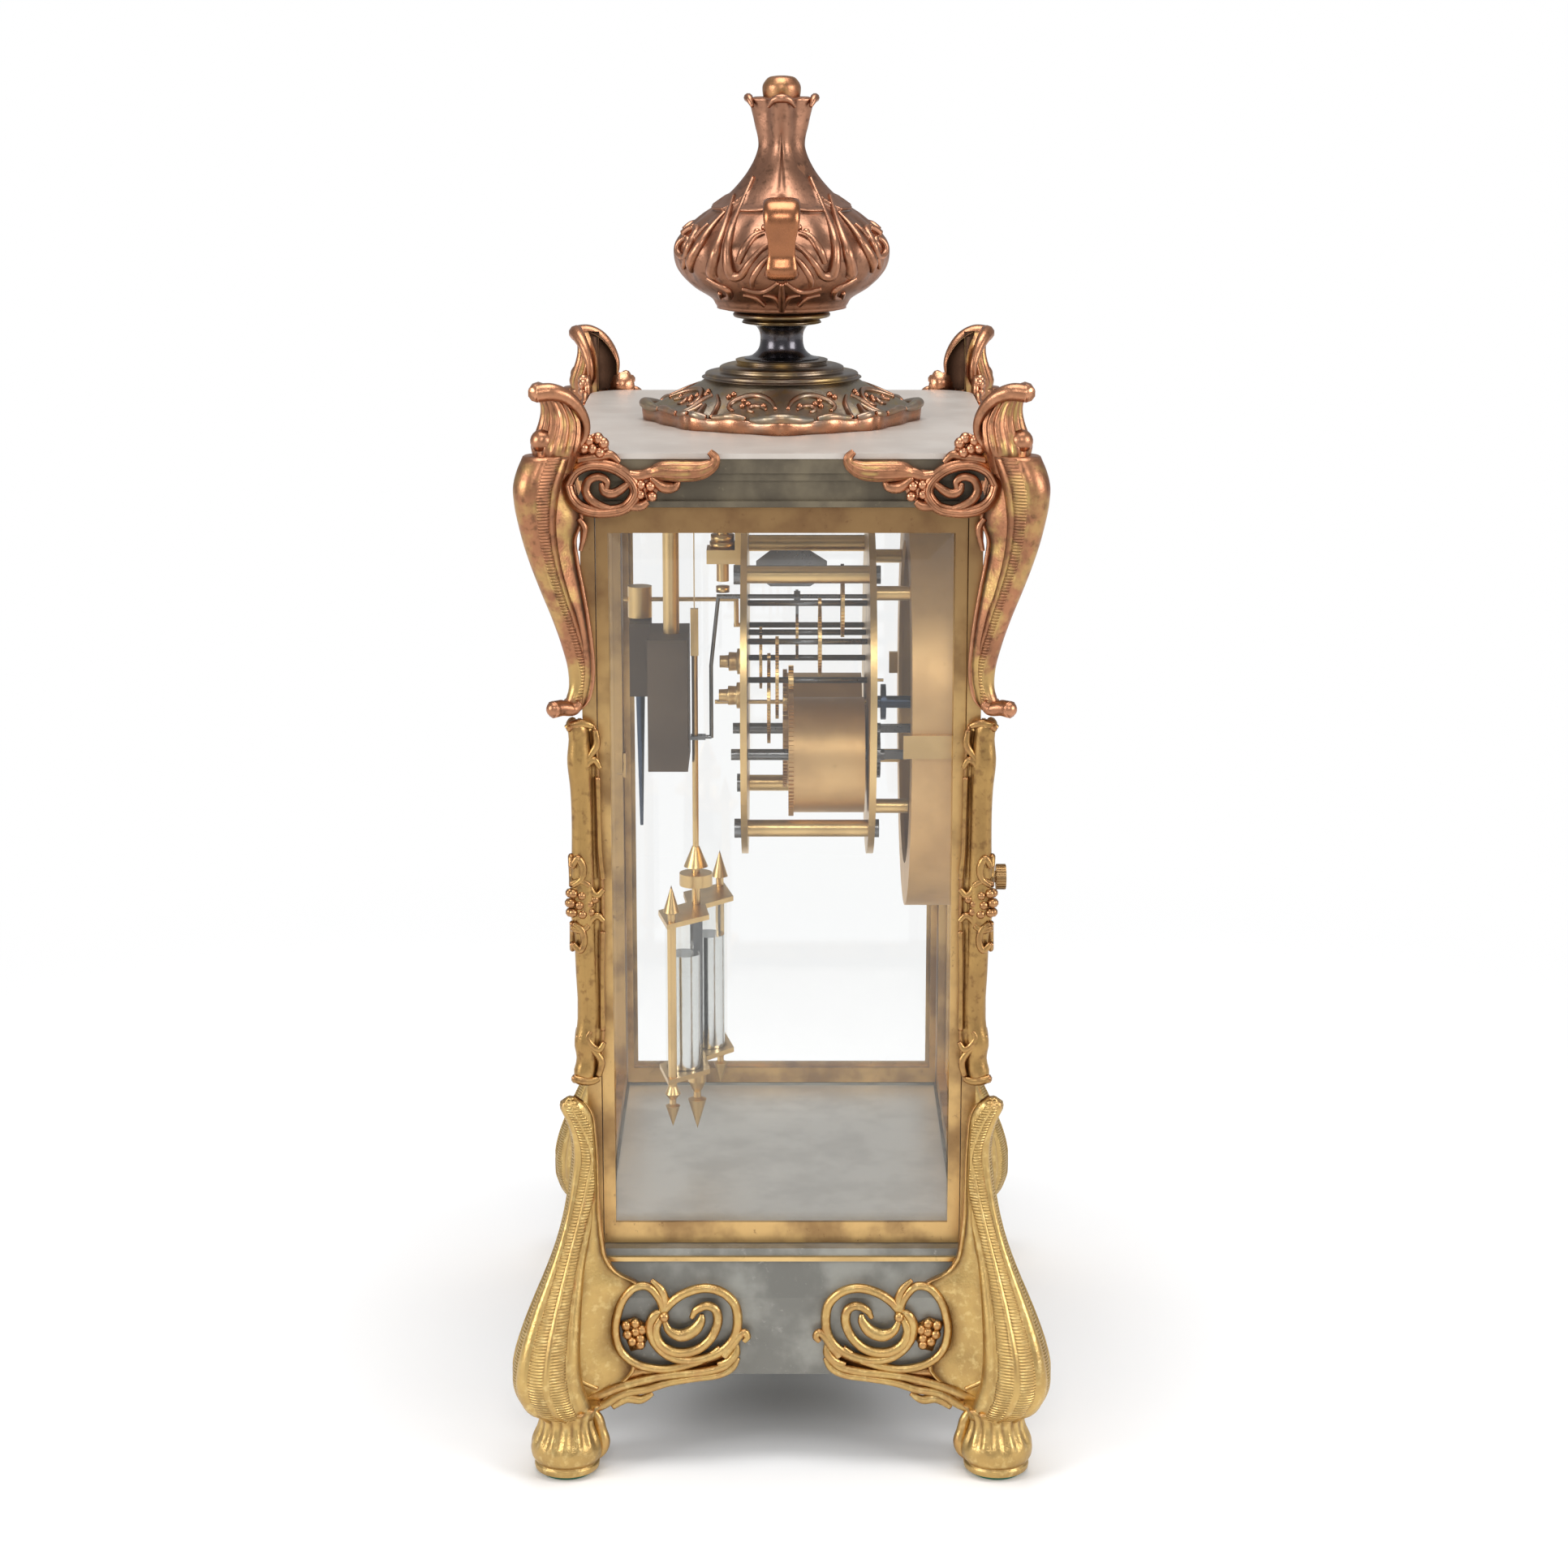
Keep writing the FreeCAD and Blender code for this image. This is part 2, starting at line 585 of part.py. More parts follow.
def make_finial():
    top = d.cornice_top_z + d.top_thick
    skirt = [(0, top), (d.skirt_radius, top), (d.skirt_radius, top + 2.4), (39, top + 6.8), (26, top + 12),
             (25.5, top + 15.6), (17, top + 19), (15.4, top + 21.4), (0, top + 21.4)]
    node(turned("skirt", skirt), "finial_skirt")
    low = top + 21.4
    stem = [(0, low), (d.stem_radius, low), (d.stem_waist_radius, low + 4), (d.stem_waist_radius + 0.6, low + 8),
            (13.0, low + 12), (21.5, low + 14), (21.5, d.urn_low_z), (0, d.urn_low_z)]
    node(turned("stem", stem), "finial_stem")
    urn = [(0, d.urn_low_z), (21.5, d.urn_low_z), (24, d.urn_low_z + 4), (33, d.urn_low_z + 10),
           (d.urn_radius, d.urn_low_z + 19), (d.urn_radius, d.urn_low_z + 26), (33, d.urn_low_z + 33),
           (20, d.urn_low_z + 41), (12, d.urn_low_z + 50), (9.4, d.urn_low_z + 60), (9.4, d.urn_low_z + 67),
           (12.4, d.urn_low_z + 71.4), (12.4, d.urn_low_z + 73), (0, d.urn_low_z + 73)]
    node(turned("urn_shell", urn), "urn")
    knob_low = d.urn_low_z + 73
    knob = [(0, knob_low), (3, knob_low), (d.knob_radius, knob_low + 2), (d.knob_radius, knob_low + 4.6),
            (3.6, d.overall_height), (0, d.overall_height)]
    node(turned("urn_cap", knob), "urn_knob")
    ear = [Vector(31, 0, 428), Vector(41, 0, 430.5), Vector(47, 0, 426), Vector(47.5, 0, 418), Vector(45.5, 0, 405),
           Vector(39.5, 0, 403), Vector(41.5, 0, 407), Vector(43.5, 0, 418), Vector(42.5, 0, 424.5), Vector(33, 0, 424.5)]
    strap = Part.Face(Part.makePolygon(ear + ear[:1])).extrude(Vector(0, 11.4, 0))
    strap.translate(Vector(0, -5.7, 0))
    urn_solid = urn_envelope(urn)
    handle = from_shape("urn_handle", strap.cut(urn_solid))
    node(group("handles", [handle, mirrored(handle, Vector(1, 0, 0))]), "urn_handles")


def urn_envelope(profile):
    points = [Vector(number(r), 0, number(z)) for r, z in profile]
    return Part.Face(Part.makePolygon(points + points[:1])).revolve(Vector(), Vector(0, 0, 1), 360)


# ---- movement ------------------------------------------------------------------------------------------------

ARBORS = {
    # place of each arbor as (x, z)
    "time_barrel": (22.0, 235.5),
    "strike_barrel": (-22.0, 235.5),
    "centre": (0.0, 250.0),
    "third": (6.0, 265.0),
    "escape": (0.0, 275.4),
    "anchor": (0.0, 288.4),
    "pin_wheel": (-17.0, 261.4),
    "locking": (-21.0, 276.0),
    "warning": (-17.0, 289.0),
    "fly": (-10.0, 300.2),
    "hammer": (33.0, 272.0),
}
MESHES = {
    # wheel arbor, pinion arbor: teeth of the wheel, leaves of the pinion, rear face, thickness
    ("time_barrel", "centre"): (82, 19, -2.0, 1.6),
    ("centre", "third"): (80, 8, 4.0, 1.2),
    ("third", "escape"): (77, 7, 7.0, 1.0),
    ("strike_barrel", "pin_wheel"): (82, 19, -4.2, 1.8),
    ("pin_wheel", "locking"): (64, 8, 1.0, 1.2),
    ("locking", "warning"): (60, 8, -14.0, 1.2),
    ("warning", "fly"): (56, 7, -22.0, 1.2),
}
ESCAPE_TEETH = 40


def toothed(radius, module, teeth, first_deg, addendum, dedendum, width):
    """A toothed outline in the XZ plane whose first tooth points at first_deg, measured from +X towards +Z."""
    points = []
    pitch = 2 * math.pi / teeth
    half_tip = width * 0.42 / radius
    half_root = width * 0.62 / radius
    for i in range(teeth):
        middle = math.radians(first_deg) + i * pitch
        for angle, r in ((middle - half_root, radius - dedendum), (middle - half_tip, radius + addendum),
                         (middle + half_tip, radius + addendum), (middle + half_root, radius - dedendum)):
            points.append(Vector(r * math.cos(angle), 0, r * math.sin(angle)))
    return Part.Face(Part.makePolygon(points + points[:1]))


def mesh_geometry(pair):
    """Module, pitch radii and direction of a wheel and its pinion."""
    teeth, leaves, _, _ = MESHES[pair]
    (x0, z0), (x1, z1) = ARBORS[pair[0]], ARBORS[pair[1]]
    module = 2 * math.hypot(x1 - x0, z1 - z0) / (teeth + leaves)
    return module, module * teeth / 2, module * leaves / 2, math.degrees(math.atan2(z1 - z0, x1 - x0))


def wheel_solid(pair, hub_radius, crossings=5):
    """The wheel of a mesh, crossed out to spokes, standing on its arbor's place."""
    teeth, _, low_y, thick = MESHES[pair]
    module, radius, _, toward = mesh_geometry(pair)
    face = toothed(radius, module, teeth, toward, 0.55 * module, 0.95 * module, 0.56 * math.pi * module / 2)
    wheel = face.extrude(Vector(0, thick, 0))
    rim = radius - 3.2 * module
    if crossings and rim > hub_radius + 3:
        opening = ring_solid(rim, hub_radius + 1.2, thick + 2, -1)
        for i in range(crossings):
            spoke = Part.makeBox(rim + 1, thick + 4, 1.6, Vector(0, -2, -0.8))
            spoke.rotate(Vector(), Vector(0, 1, 0), i * 360 / crossings)
            opening = opening.cut(spoke)
        wheel = wheel.cut(opening)
    x, z = ARBORS[pair[0]]
    wheel.translate(Vector(x, low_y, z))
    return wheel


def pinion_solid(pair):
    teeth, leaves, low_y, thick = MESHES[pair]
    module, _, radius, toward = mesh_geometry(pair)
    gap_first = toward + 180 + 180 / leaves
    face = toothed(radius, module, leaves, gap_first, 0.5 * module, 0.95 * module, 0.50 * math.pi * module / 2)
    pinion = face.extrude(Vector(0, thick, 0))
    x, z = ARBORS[pair[1]]
    pinion.translate(Vector(x, low_y, z))
    return pinion


def disc(radius, low_y, high_y, x=0.0, z=0.0):
    return Part.makeCylinder(radius, high_y - low_y, Vector(x, low_y, z), Vector(0, 1, 0))


def ring_solid(outer, inner, thick, low_y):
    return disc(outer, low_y, low_y + thick).cut(disc(inner, low_y - 1, low_y + thick + 1))


def arbor_solid(name, front_y=None, rear_y=None):
    """An arbor between the plates with a thinner pivot at each end."""
    x, z = ARBORS[name]
    front, rear = -d.front_plate_y.value, d.back_plate_y.value
    thick = d.plate_thick.value
    body = disc(d.arbor_radius.value, front + 0.3, rear - 0.3, x, z)
    pivot = disc(d.pivot_radius.value, front_y if front_y is not None else front - thick,
                 rear_y if rear_y is not None else rear + thick, x, z)
    return body.fuse(pivot)


def wheel_set(label, name, driven_by, drives=None, extras=(), front_y=None, rear_y=None):
    """An arbor with its pinion and wheel, made fast to each other."""
    parts = [pinion_solid((driven_by, name))]
    if drives:
        parts.append(wheel_solid((name, drives), 1.8))
    parts += extras
    node(from_shape(label, arbor_solid(name, front_y, rear_y).fuse(parts)), label)


def barrel(label, name, pinion, front_y):
    """A hollow drum with its toothed wheel, running on the winding arbor."""
    teeth, _, low_y, thick = MESHES[(name, pinion)]
    x, z = ARBORS[name]
    radius = d.barrel_radius.value
    bore = disc(2.0 + d.running_clearance.value, front_y - 1, low_y + thick + 1)
    drum = disc(radius, front_y, low_y + 0.01).cut([disc(radius - 1.2, front_y + 1.2, low_y - 1.2), bore])
    drum.translate(Vector(x, 0, z))
    bore.translate(Vector(x, 0, z))
    wheel = wheel_solid((name, pinion), 5.0, 0).cut(bore)
    node(from_shape(label, drum.fuse(wheel)), label)
    return x, z, radius, low_y


def mainspring(label, x, z, radius, front_y, low_y, turns=8, steps=20):
    """A flat spiral ribbon that lies inside its drum."""
    inner, outer, thick = 4.2, radius - 1.9, 0.45
    pitch = (outer - inner) / (turns * 2 * math.pi)
    angles = [2 * math.pi * i / steps for i in range(turns * steps + 1)]
    near = [Vector((inner + pitch * a) * math.cos(a), 0, (inner + pitch * a) * math.sin(a)) for a in angles]
    far = [Vector((inner + thick + pitch * a) * math.cos(a), 0, (inner + thick + pitch * a) * math.sin(a))
           for a in reversed(angles)]
    ribbon = Part.Face(Part.makePolygon(near + far + near[:1])).extrude(Vector(0, low_y - front_y - 3.4, 0))
    ribbon.translate(Vector(x, front_y + 1.7, z))
    node(from_shape(label, ribbon), label)


def winding_arbor(label, name, rear_y):
    """The barrel's arbor with its ratchet wheel before the front plate and its square for the key."""
    x, z = ARBORS[name]
    shaft = disc(2.0, -d.front_plate_y.value - 6, rear_y)
    ratchet = toothed(7.6, 0.8, 24, 0, 0.5, 0.5, 0.9).extrude(Vector(0, 1.4, 0))
    ratchet.translate(Vector(0, -d.front_plate_y.value - d.plate_thick.value - 2.2, 0))
    square = Part.makeBox(2.8, 20, 2.8, Vector(-1.4, -d.front_plate_y.value - 25, -1.4))
    arbor = shaft.fuse([ratchet, square])
    arbor.translate(Vector(x, 0, z))
    node(from_shape(label, arbor), label)


def make_trains():
    front_y = -d.barrel_low_y.value
    for word, pinion in (("time", "centre"), ("strike", "pin_wheel")):
        name = f"{word}_barrel"
        x, z, radius, low_y = barrel(name, name, pinion, front_y)
        mainspring(f"{word}_mainspring", x, z, radius, front_y, low_y)
        winding_arbor(f"{word}_winding_arbor", name, d.back_plate_y.value + 6.0)
    wheel_set("centre_wheel", "centre", "time_barrel", "third", [disc(d.arbor_radius.value, -56.5, 24.0, *ARBORS["centre"])],
              -33.0, 24.0)
    wheel_set("third_wheel", "third", "centre", "escape")
    x, z = ARBORS["escape"]
    crown = toothed(9.0, 0.4, ESCAPE_TEETH, 0, 0.4, 1.2, 0.5).extrude(Vector(0, 1.0, 0))
    crown = crown.cut(ring_solid(6.8, 2.8, 3, -1).cut([spoke_bar(i, 6.9) for i in range(4)]))
    crown.translate(Vector(x, -6.0, z))
    wheel_set("escape_wheel", "escape", "third", None, [crown])
    wheel_set("pin_wheel", "pin_wheel", "strike_barrel", "locking", front_y=-36.0)
    wheel_set("locking_wheel", "locking", "pin_wheel", "warning")
    wheel_set("warning_wheel", "warning", "locking", "fly")
    x, z = ARBORS["fly"]
    vane = Part.Face(Part.makePolygon([Vector(x - 0.3, y, z + height) for y, height in
                                       ((-16, 2.6), (-10, 6.4), (4, 6.4), (9, 2.6), (9, -2.6), (4, -6.4), (-10, -6.4),
                                        (-16, -2.6), (-16, 2.6))])).extrude(Vector(0.6, 0, 0))
    wheel_set("fly", "fly", "warning", None, [vane])


def spoke_bar(i, radius, count=4):
    bar = Part.makeBox(radius, 6, 1.2, Vector(0, -2, -0.6))
    bar.rotate(Vector(), Vector(0, 1, 0), i * 360 / count)
    return bar


def make_anchor():
    """The anchor on its arbor, with the crutch that hangs behind the back plate and forks the pendulum rod."""
    x, z = ARBORS["anchor"]
    strap = Part.makeBox(17.6, 1.0, 2.0, Vector(-8.8, -6.0, z - 1.0))
    pallets = [Part.makeBox(1.4, 1.0, 5.2, Vector(side, -6.0, z - 4.8)) for side in (-8.8, 7.4)]
    hub = disc(2.0, -6.6, -4.4, x, z)
    rear_y = 23.2
    shaft = disc(0.8, -d.front_plate_y.value - d.plate_thick.value, rear_y, x, z)
    route = [Vector(0, 22.6, z), Vector(0, 25.3, 263.3), Vector(0, 25.3, 237.1), Vector(0, 28.0, 237.1)]
    wires = [Part.makeCylinder(0.7, (b - a).Length + 0.3, a, b - a) for a, b in zip(route, route[1:])]
    fork = [Part.makeBox(5.2, 1.2, 1.2, Vector(-2.6, 27.4, 236.5))]
    fork += [Part.makeBox(1.1, 5.4, 1.2, Vector(side, 27.4, 236.5)) for side in (-2.6, 1.5)]
    anchor = shaft.fuse([strap, hub, *pallets, *wires, *fork])
    node(from_shape("anchor", anchor), "anchor")


def make_hammer():
    x, z = ARBORS["hammer"]
    head_x, head_y, rod_z = 25.0, 51.7, 283.0
    shaft = disc(0.8, -d.front_plate_y.value - d.plate_thick.value, 17.6, x, z)
    start, end = Vector(x, 16.6, z), Vector(head_x, 16.6, rod_z)
    arm = Part.makeCylinder(0.9, (end - start).Length, start, end - start)
    handle = disc(0.8, 16.2, 57.7, head_x, rod_z)
    head = Part.makeCylinder(4.4, 11.4, Vector(head_x, head_y, 276.5))
    node(from_shape("hammer", shaft.fuse([arm, handle, head])), "hammer")


def make_plates():
    """The two round plates, pierced for every arbor, held apart by four pillars."""
    thick = d.plate_thick
    for label, y in (("back_plate", d.back_plate_y), ("front_plate", -1 * d.front_plate_y - thick)):
        plate = rod(label + "_disc", d.plate_radius, thick, (0, y, d.plate_z), ALONG_Y)
        holes = []
        for name, (x, z) in ARBORS.items():
            wide = {"time_barrel": 2.0, "strike_barrel": 2.0, "anchor": 0.8, "hammer": 0.8, "centre": 0.9}
            radius = wide.get(name, d.pivot_radius) + d.running_clearance
            if name == "centre" and label == "front_plate":
                radius = d.arbor_radius + 2.2
            holes.append(rod(f"{label}_{name}_hole", radius, thick + 2, (x, y - 1, z), ALONG_Y))
        node(cut(label, plate, holes), label)
    pillars, nuts = [], []
    for i, (side, up) in enumerate(((-1, -1), (-1, 1), (1, -1), (1, 1))):
        at_x, at_z = side * d.pillar_x, d.plate_z + up * d.pillar_half_z
        pillars.append(rod(f"pillar_{i}", d.pillar_radius, d.back_plate_y + d.front_plate_y,
                           (at_x, -1 * d.front_plate_y, at_z), ALONG_Y))
        nuts.append(rod(f"rear_screw_{i}", 3.4, 2.4, (at_x, d.back_plate_y + thick, at_z), ALONG_Y))
        nuts.append(rod(f"front_nut_{i}", 3.2, 1.6, (at_x, -1 * d.front_plate_y - thick - 1.6, at_z), ALONG_Y))
    node(group("pillars", pillars), "movement_pillars")
    node(group("pillar_fixings", nuts), "pillar_screws")


def make_dial():
    """The drum behind the dial, the enamel face, and the posts and clamps that carry it."""
    front, rear = -1 * d.drum_front_y, -1 * d.drum_rear_y
    shell = rod("drum_outside", d.drum_radius, d.drum_front_y - d.drum_rear_y, (0, front, d.dial_z), ALONG_Y)
    flange_hole = rod("drum_rear_hole", d.drum_radius - 15, 30, (0, front + 2, d.dial_z), ALONG_Y)
    room = rod("drum_room", d.drum_radius - d.drum_wall, d.drum_front_y - d.drum_rear_y - 1.2,
               (0, front, d.dial_z), ALONG_Y)
    node(cut("drum", shell, [room, flange_hole]), "dial_drum")
    face = rod("face_disc", d.drum_radius - d.drum_wall, 1.0, (0, -1 * d.dial_y - 1.0, d.dial_z), ALONG_Y)
    holes = [rod("hand_hole", 3.2, 4, (0, -1 * d.dial_y - 2, d.dial_z), ALONG_Y)]
    holes += [rod(f"key_hole_{i}", 3.4, 4, (side * d.barrel_x, -1 * d.dial_y - 2, d.barrel_z), ALONG_Y)
              for i, side in enumerate((-1, 1))]
    node(cut("face", face, holes), "dial_face")
    posts = [rod(f"drum_post_{i}", 2.5, d.drum_rear_y - d.front_plate_y - d.plate_thick,
                 (x, rear, z), ALONG_Y)
             for i, (x, z) in enumerate(((-40, 296.5), (40, 296.5), (-40, 221.2), (40, 221.2)))]
    node(group("drum_post_set", posts), "drum_posts")
    clamp = fuse("clamp", [
        block("clamp_pad", (d.drum_radius - 0.6, -57.6, 246.0), (d.drum_radius + 2.4, -41.0, 254.0)),
        block("clamp_foot", (d.drum_radius + 1.4, -61.25, 246.0), (d.side_frame_inner_x, -57.6, 254.0)),
    ])
    clamp = cut("clamp_fitted", clamp, [rod("clamp_relief", d.drum_radius + 0.02, 40, (0, -70, d.dial_z), ALONG_Y)])
    node(group("clamps", [clamp, mirrored(clamp, Vector(1, 0, 0))]), "drum_clamps")


def hand_solid(length, tail, width, low_y, hub, bore, turn_deg):
    """A flat pointed hand with its hub, turned clockwise as seen from the front."""
    points = [Vector(-width, low_y, 0), Vector(-width * 0.5, low_y, length * 0.7), Vector(-width, low_y, length * 0.8),
              Vector(0, low_y, length), Vector(width, low_y, length * 0.8), Vector(width * 0.5, low_y, length * 0.7),
              Vector(width, low_y, 0), Vector(width * 0.6, low_y, -tail), Vector(-width * 0.6, low_y, -tail)]
    blade = Part.Face(Part.makePolygon(points + points[:1])).extrude(Vector(0, 0.8, 0))
    hand = blade.fuse(disc(hub, low_y, low_y + 0.8)).cut(disc(bore, low_y - 1, low_y + 2))
    hand.rotate(Vector(), Vector(0, 1, 0), turn_deg)
    hand.translate(Vector(0, 0, d.dial_z.value))
    return hand


def make_hands():
    minute = hand_solid(56.0, 9.0, 2.0, -57.6, 3.4, 0.9, 40.0)
    node(from_shape("minute_hand", minute), "minute_hand")
    x, z = ARBORS["centre"]
    clear = d.arbor_radius.value + d.running_clearance.value
    pipe = disc(2.2, -56.4, -34.0, x, z).cut(disc(clear, -58, -33, x, z))
    hour = hand_solid(38.0, 7.0, 2.6, -56.2, 3.6, clear, -57.0).fuse(pipe)
    hour = hour.cut(disc(clear, -60, -30, x, z))
    hub = disc(6.4, -37.4, -35.6, x, z).cut(disc(clear, -60, -30, x, z))
    node(from_shape("hour_hand", hour.fuse(hub)), "hour_hand")


# ---- pendulum and gong ---------------------------------------------------------------------------------------


def bob_plan(z, thick, grow=0.0):
    """The outline of a bob plate: two kites that meet at a narrow waist, as a slab."""
    long, wide = d.bob_half_length.value + grow, d.bob_half_width.value + grow
    offset, waist = d.jar_offset.value, 3.6
    points = [(-long, 0), (-offset, -wide), (0, -waist), (offset, -wide), (long, 0), (offset, wide), (0, waist),
              (-offset, wide)]
    spots = [Vector(x, y, z) for x, y in points]
    return Part.Face(Part.makePolygon(spots + spots[:1])).extrude(Vector(0, 0, thick))


def spindle(x, y, profile):
    """A small turned finial from (radius, height) points."""
    points = [Vector(r, 0, z) for r, z in profile]
    solid = Part.Face(Part.makePolygon(points + points[:1])).revolve(Vector(), Vector(0, 0, 1), 360)
    solid.translate(Vector(x, y, 0))
    return solid


def make_bob():
    top, low, thick = d.bob_top_z.value, d.bob_low_z.value, 1.8
    offset, jar = d.jar_offset.value, d.jar_radius.value
    frame = [bob_plan(top - thick, thick), bob_plan(low, thick)]
    ends = d.bob_half_length.value - 4.6
    for side in (-1, 1):
        x = side * ends
        frame.append(Part.makeCylinder(1.6, top - low - thick, Vector(x, 0, low + 0.9)))
        frame.append(spindle(x, 0, [(0, top), (1.4, top), (1.4, top + 3), (3.0, top + 3.6), (0, top + 13.5)]))
        frame.append(spindle(x, 0, [(0, low), (0, low - 17), (2.6, low - 9), (1.2, low - 8.4), (1.2, low - 6.6),
                                    (2.9, low - 4.4), (1.6, low - 1.6), (1.6, low)]))
    frame.append(spindle(0, 0, [(0, low), (0, low - 26.5), (3.4, low - 15), (1.4, low - 14.2), (1.4, low - 12),
                                (3.4, low - 8), (3.4, low - 5), (1.8, low - 2), (1.8, low)]))
    jars, fill = [], []
    for side in (-1, 1):
        at = Vector(side * offset, 0, low + thick)
        tall = top - low - 2 * thick
        jars.append(Part.makeCylinder(jar, tall, at).cut(Part.makeCylinder(jar - 0.9, tall, at)))
        fill.append(Part.makeCylinder(jar - 0.95, 43.0, at))
    hang = Placement(Vector(0, d.pendulum_y.value, 0), Rotation(Vector(0, 0, 1), -d.bob_turn_deg.value))
    solid = frame[0].fuse(frame[1:])
    for label, shape in (("bob_frame", solid), ("bob_jars", Part.makeCompound(jars)),
                         ("mercury_fill", Part.makeCompound(fill))):
        thing = from_shape(label, shape)
        thing.Placement = hang
        node(thing, label)


def make_pendulum():
    """The rod on its blued ribbon, just clear of the cock's jaw, and the nut that sets its length."""
    y = d.pendulum_y
    ribbon = block("ribbon", (-3.0, y - 0.15, 270.0), (3.0, y + 0.15, d.suspension_z - 0.4))
    hook = block("hook", (-1.3, y - 1.4, 267.0), (1.3, y + 1.4, 284.0))
    stem = rod("pendulum_stem", d.rod_radius, 75.0, (0, y, 193.0))
    thread = rod("pendulum_thread", 1.5, 195.0 - d.bob_top_z, (0, y, d.bob_top_z))
    taper = cone("pendulum_cone", 4.4, 1.4, 7.4, (0, y, 189.0))
    node(fuse("pendulum", [ribbon, hook, stem, thread, taper]), "pendulum_rod")
    nut = rod("nut_solid", 6.0, 4.5, (0, y, 182.0))
    node(cut("nut", nut, [rod("nut_bore", 1.5 + d.running_clearance, 8, (0, y, 180.0))]), "rating_nut")


def make_suspension_cock():
    """The cock on the back plate that holds the ribbon, with the adjuster that a front arbor turns."""
    rear = d.back_plate_y + d.plate_thick
    shelf = block("cock_shelf", (-6, rear, 301.0), (6, rear + 12.4, 306.0))
    screw = rod("adjuster_post", 2.2, 34.0, (0, rear + 6.8, 294.0))
    arm = block("cock_arm", (-4, rear, 322.0), (4, rear + 21.0, 329.0))
    riser = block("cock_riser", (-6, rear, 295.0), (6, rear + 2.4, 329.0))
    jaw = block("cock_jaw", (-4, d.pendulum_y - 3, d.suspension_z), (4, d.pendulum_y + 3, 329.0))
    node(fuse("cock", [shelf, screw, arm, riser, jaw]), "suspension_cock")


def make_gong():
    post = rod("post_bar", 2.9, d.cornice_top_z - 273.7, (0, d.gong_post_y, 273.7))
    node(post, "gong_post")
    body = block("gong_body", (-15, 33.4, d.gong_block_low_z), (19, 47.6, d.gong_block_top_z))
    lug = block("gong_lug", (14, 47.6, 249.0), (30, 55.2, 275.7))
    socket = rod("gong_socket", 2.9, 5, (0, d.gong_post_y, 273.7))
    node(cut("gong_casting", fuse("gong_solid", [body, lug]), [socket]), "gong_block")
    node(cone("gong_bar", 0.6, 1.7, 50.0, (22, 51.7, 199.0)), "gong_rod")


# ---- assembly ------------------------------------------------------------------------------------------------


def check_and_write():
    DOC.recompute()
    for thing in DOC.Objects:
        bad = {"Invalid", "Error"} & set(thing.State)
        if bad:
            raise RuntimeError(f"{thing.Name} is {sorted(bad)}")
    os.makedirs("parts", exist_ok=True)
    for thing in NODES:
        shape = thing.Shape
        if shape.isNull() or not shape.isValid() or not shape.Solids:
            raise RuntimeError(f"{thing.Label} has no sound shape")
        shape.exportStep(f"parts/{thing.Label}.step")


def main():
    make_base()
    make_posts()
    make_side(1, "right")
    make_side(-1, "left")
    make_door("front", False)
    make_door("rear", True)
    make_hinge_pins()
    make_cornice()
    make_lower_mount()
    make_middle_mount()
    make_upper_mount()
    make_finial()
    make_plates()
    make_trains()
    make_anchor()
    make_hammer()
    make_dial()
    make_hands()
    make_pendulum()
    make_bob()
    make_suspension_cock()
    make_gong()
    check_and_write()


main()
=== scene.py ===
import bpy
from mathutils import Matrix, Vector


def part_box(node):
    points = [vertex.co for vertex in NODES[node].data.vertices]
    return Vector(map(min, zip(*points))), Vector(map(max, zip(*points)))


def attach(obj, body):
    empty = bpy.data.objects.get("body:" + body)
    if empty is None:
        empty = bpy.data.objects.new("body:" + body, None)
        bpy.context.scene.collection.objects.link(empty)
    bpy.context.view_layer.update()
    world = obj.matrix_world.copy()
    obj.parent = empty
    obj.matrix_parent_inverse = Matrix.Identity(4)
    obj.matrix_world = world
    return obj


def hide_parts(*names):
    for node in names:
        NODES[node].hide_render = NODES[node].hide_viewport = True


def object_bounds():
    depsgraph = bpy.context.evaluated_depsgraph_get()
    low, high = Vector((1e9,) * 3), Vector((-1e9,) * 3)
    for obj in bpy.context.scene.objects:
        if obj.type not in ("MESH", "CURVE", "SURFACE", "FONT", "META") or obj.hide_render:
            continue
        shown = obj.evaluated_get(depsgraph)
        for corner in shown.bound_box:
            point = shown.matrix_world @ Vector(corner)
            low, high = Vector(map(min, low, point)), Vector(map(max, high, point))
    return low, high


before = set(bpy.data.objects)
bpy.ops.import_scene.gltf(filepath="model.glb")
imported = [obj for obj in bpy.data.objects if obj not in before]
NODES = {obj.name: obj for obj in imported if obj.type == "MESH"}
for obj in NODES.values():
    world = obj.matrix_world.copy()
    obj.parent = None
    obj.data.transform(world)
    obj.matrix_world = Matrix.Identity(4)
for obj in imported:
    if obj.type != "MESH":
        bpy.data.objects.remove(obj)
cad_box = [list(map(float, corner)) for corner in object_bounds()]

import math

import bmesh
import bpy
import numpy as np
from mathutils import Vector

MM = 0.001
TINY = 1e-12
POLE = 0.02  # the small turn, in radians, at which a ball is closed


# ---- reading the frame ---------------------------------------------------------------------------


def box_mm(node):
    """The lowest and highest corner of a CAD node, in millimetres."""
    low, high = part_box(node)
    return np.array(low) / MM, np.array(high) / MM


def placed(name, data):
    """A new object in the scene that holds the data."""
    thing = bpy.data.objects.new(name, data)
    bpy.context.collection.objects.link(thing)
    return thing


# ---- shader maths --------------------------------------------------------------------------------


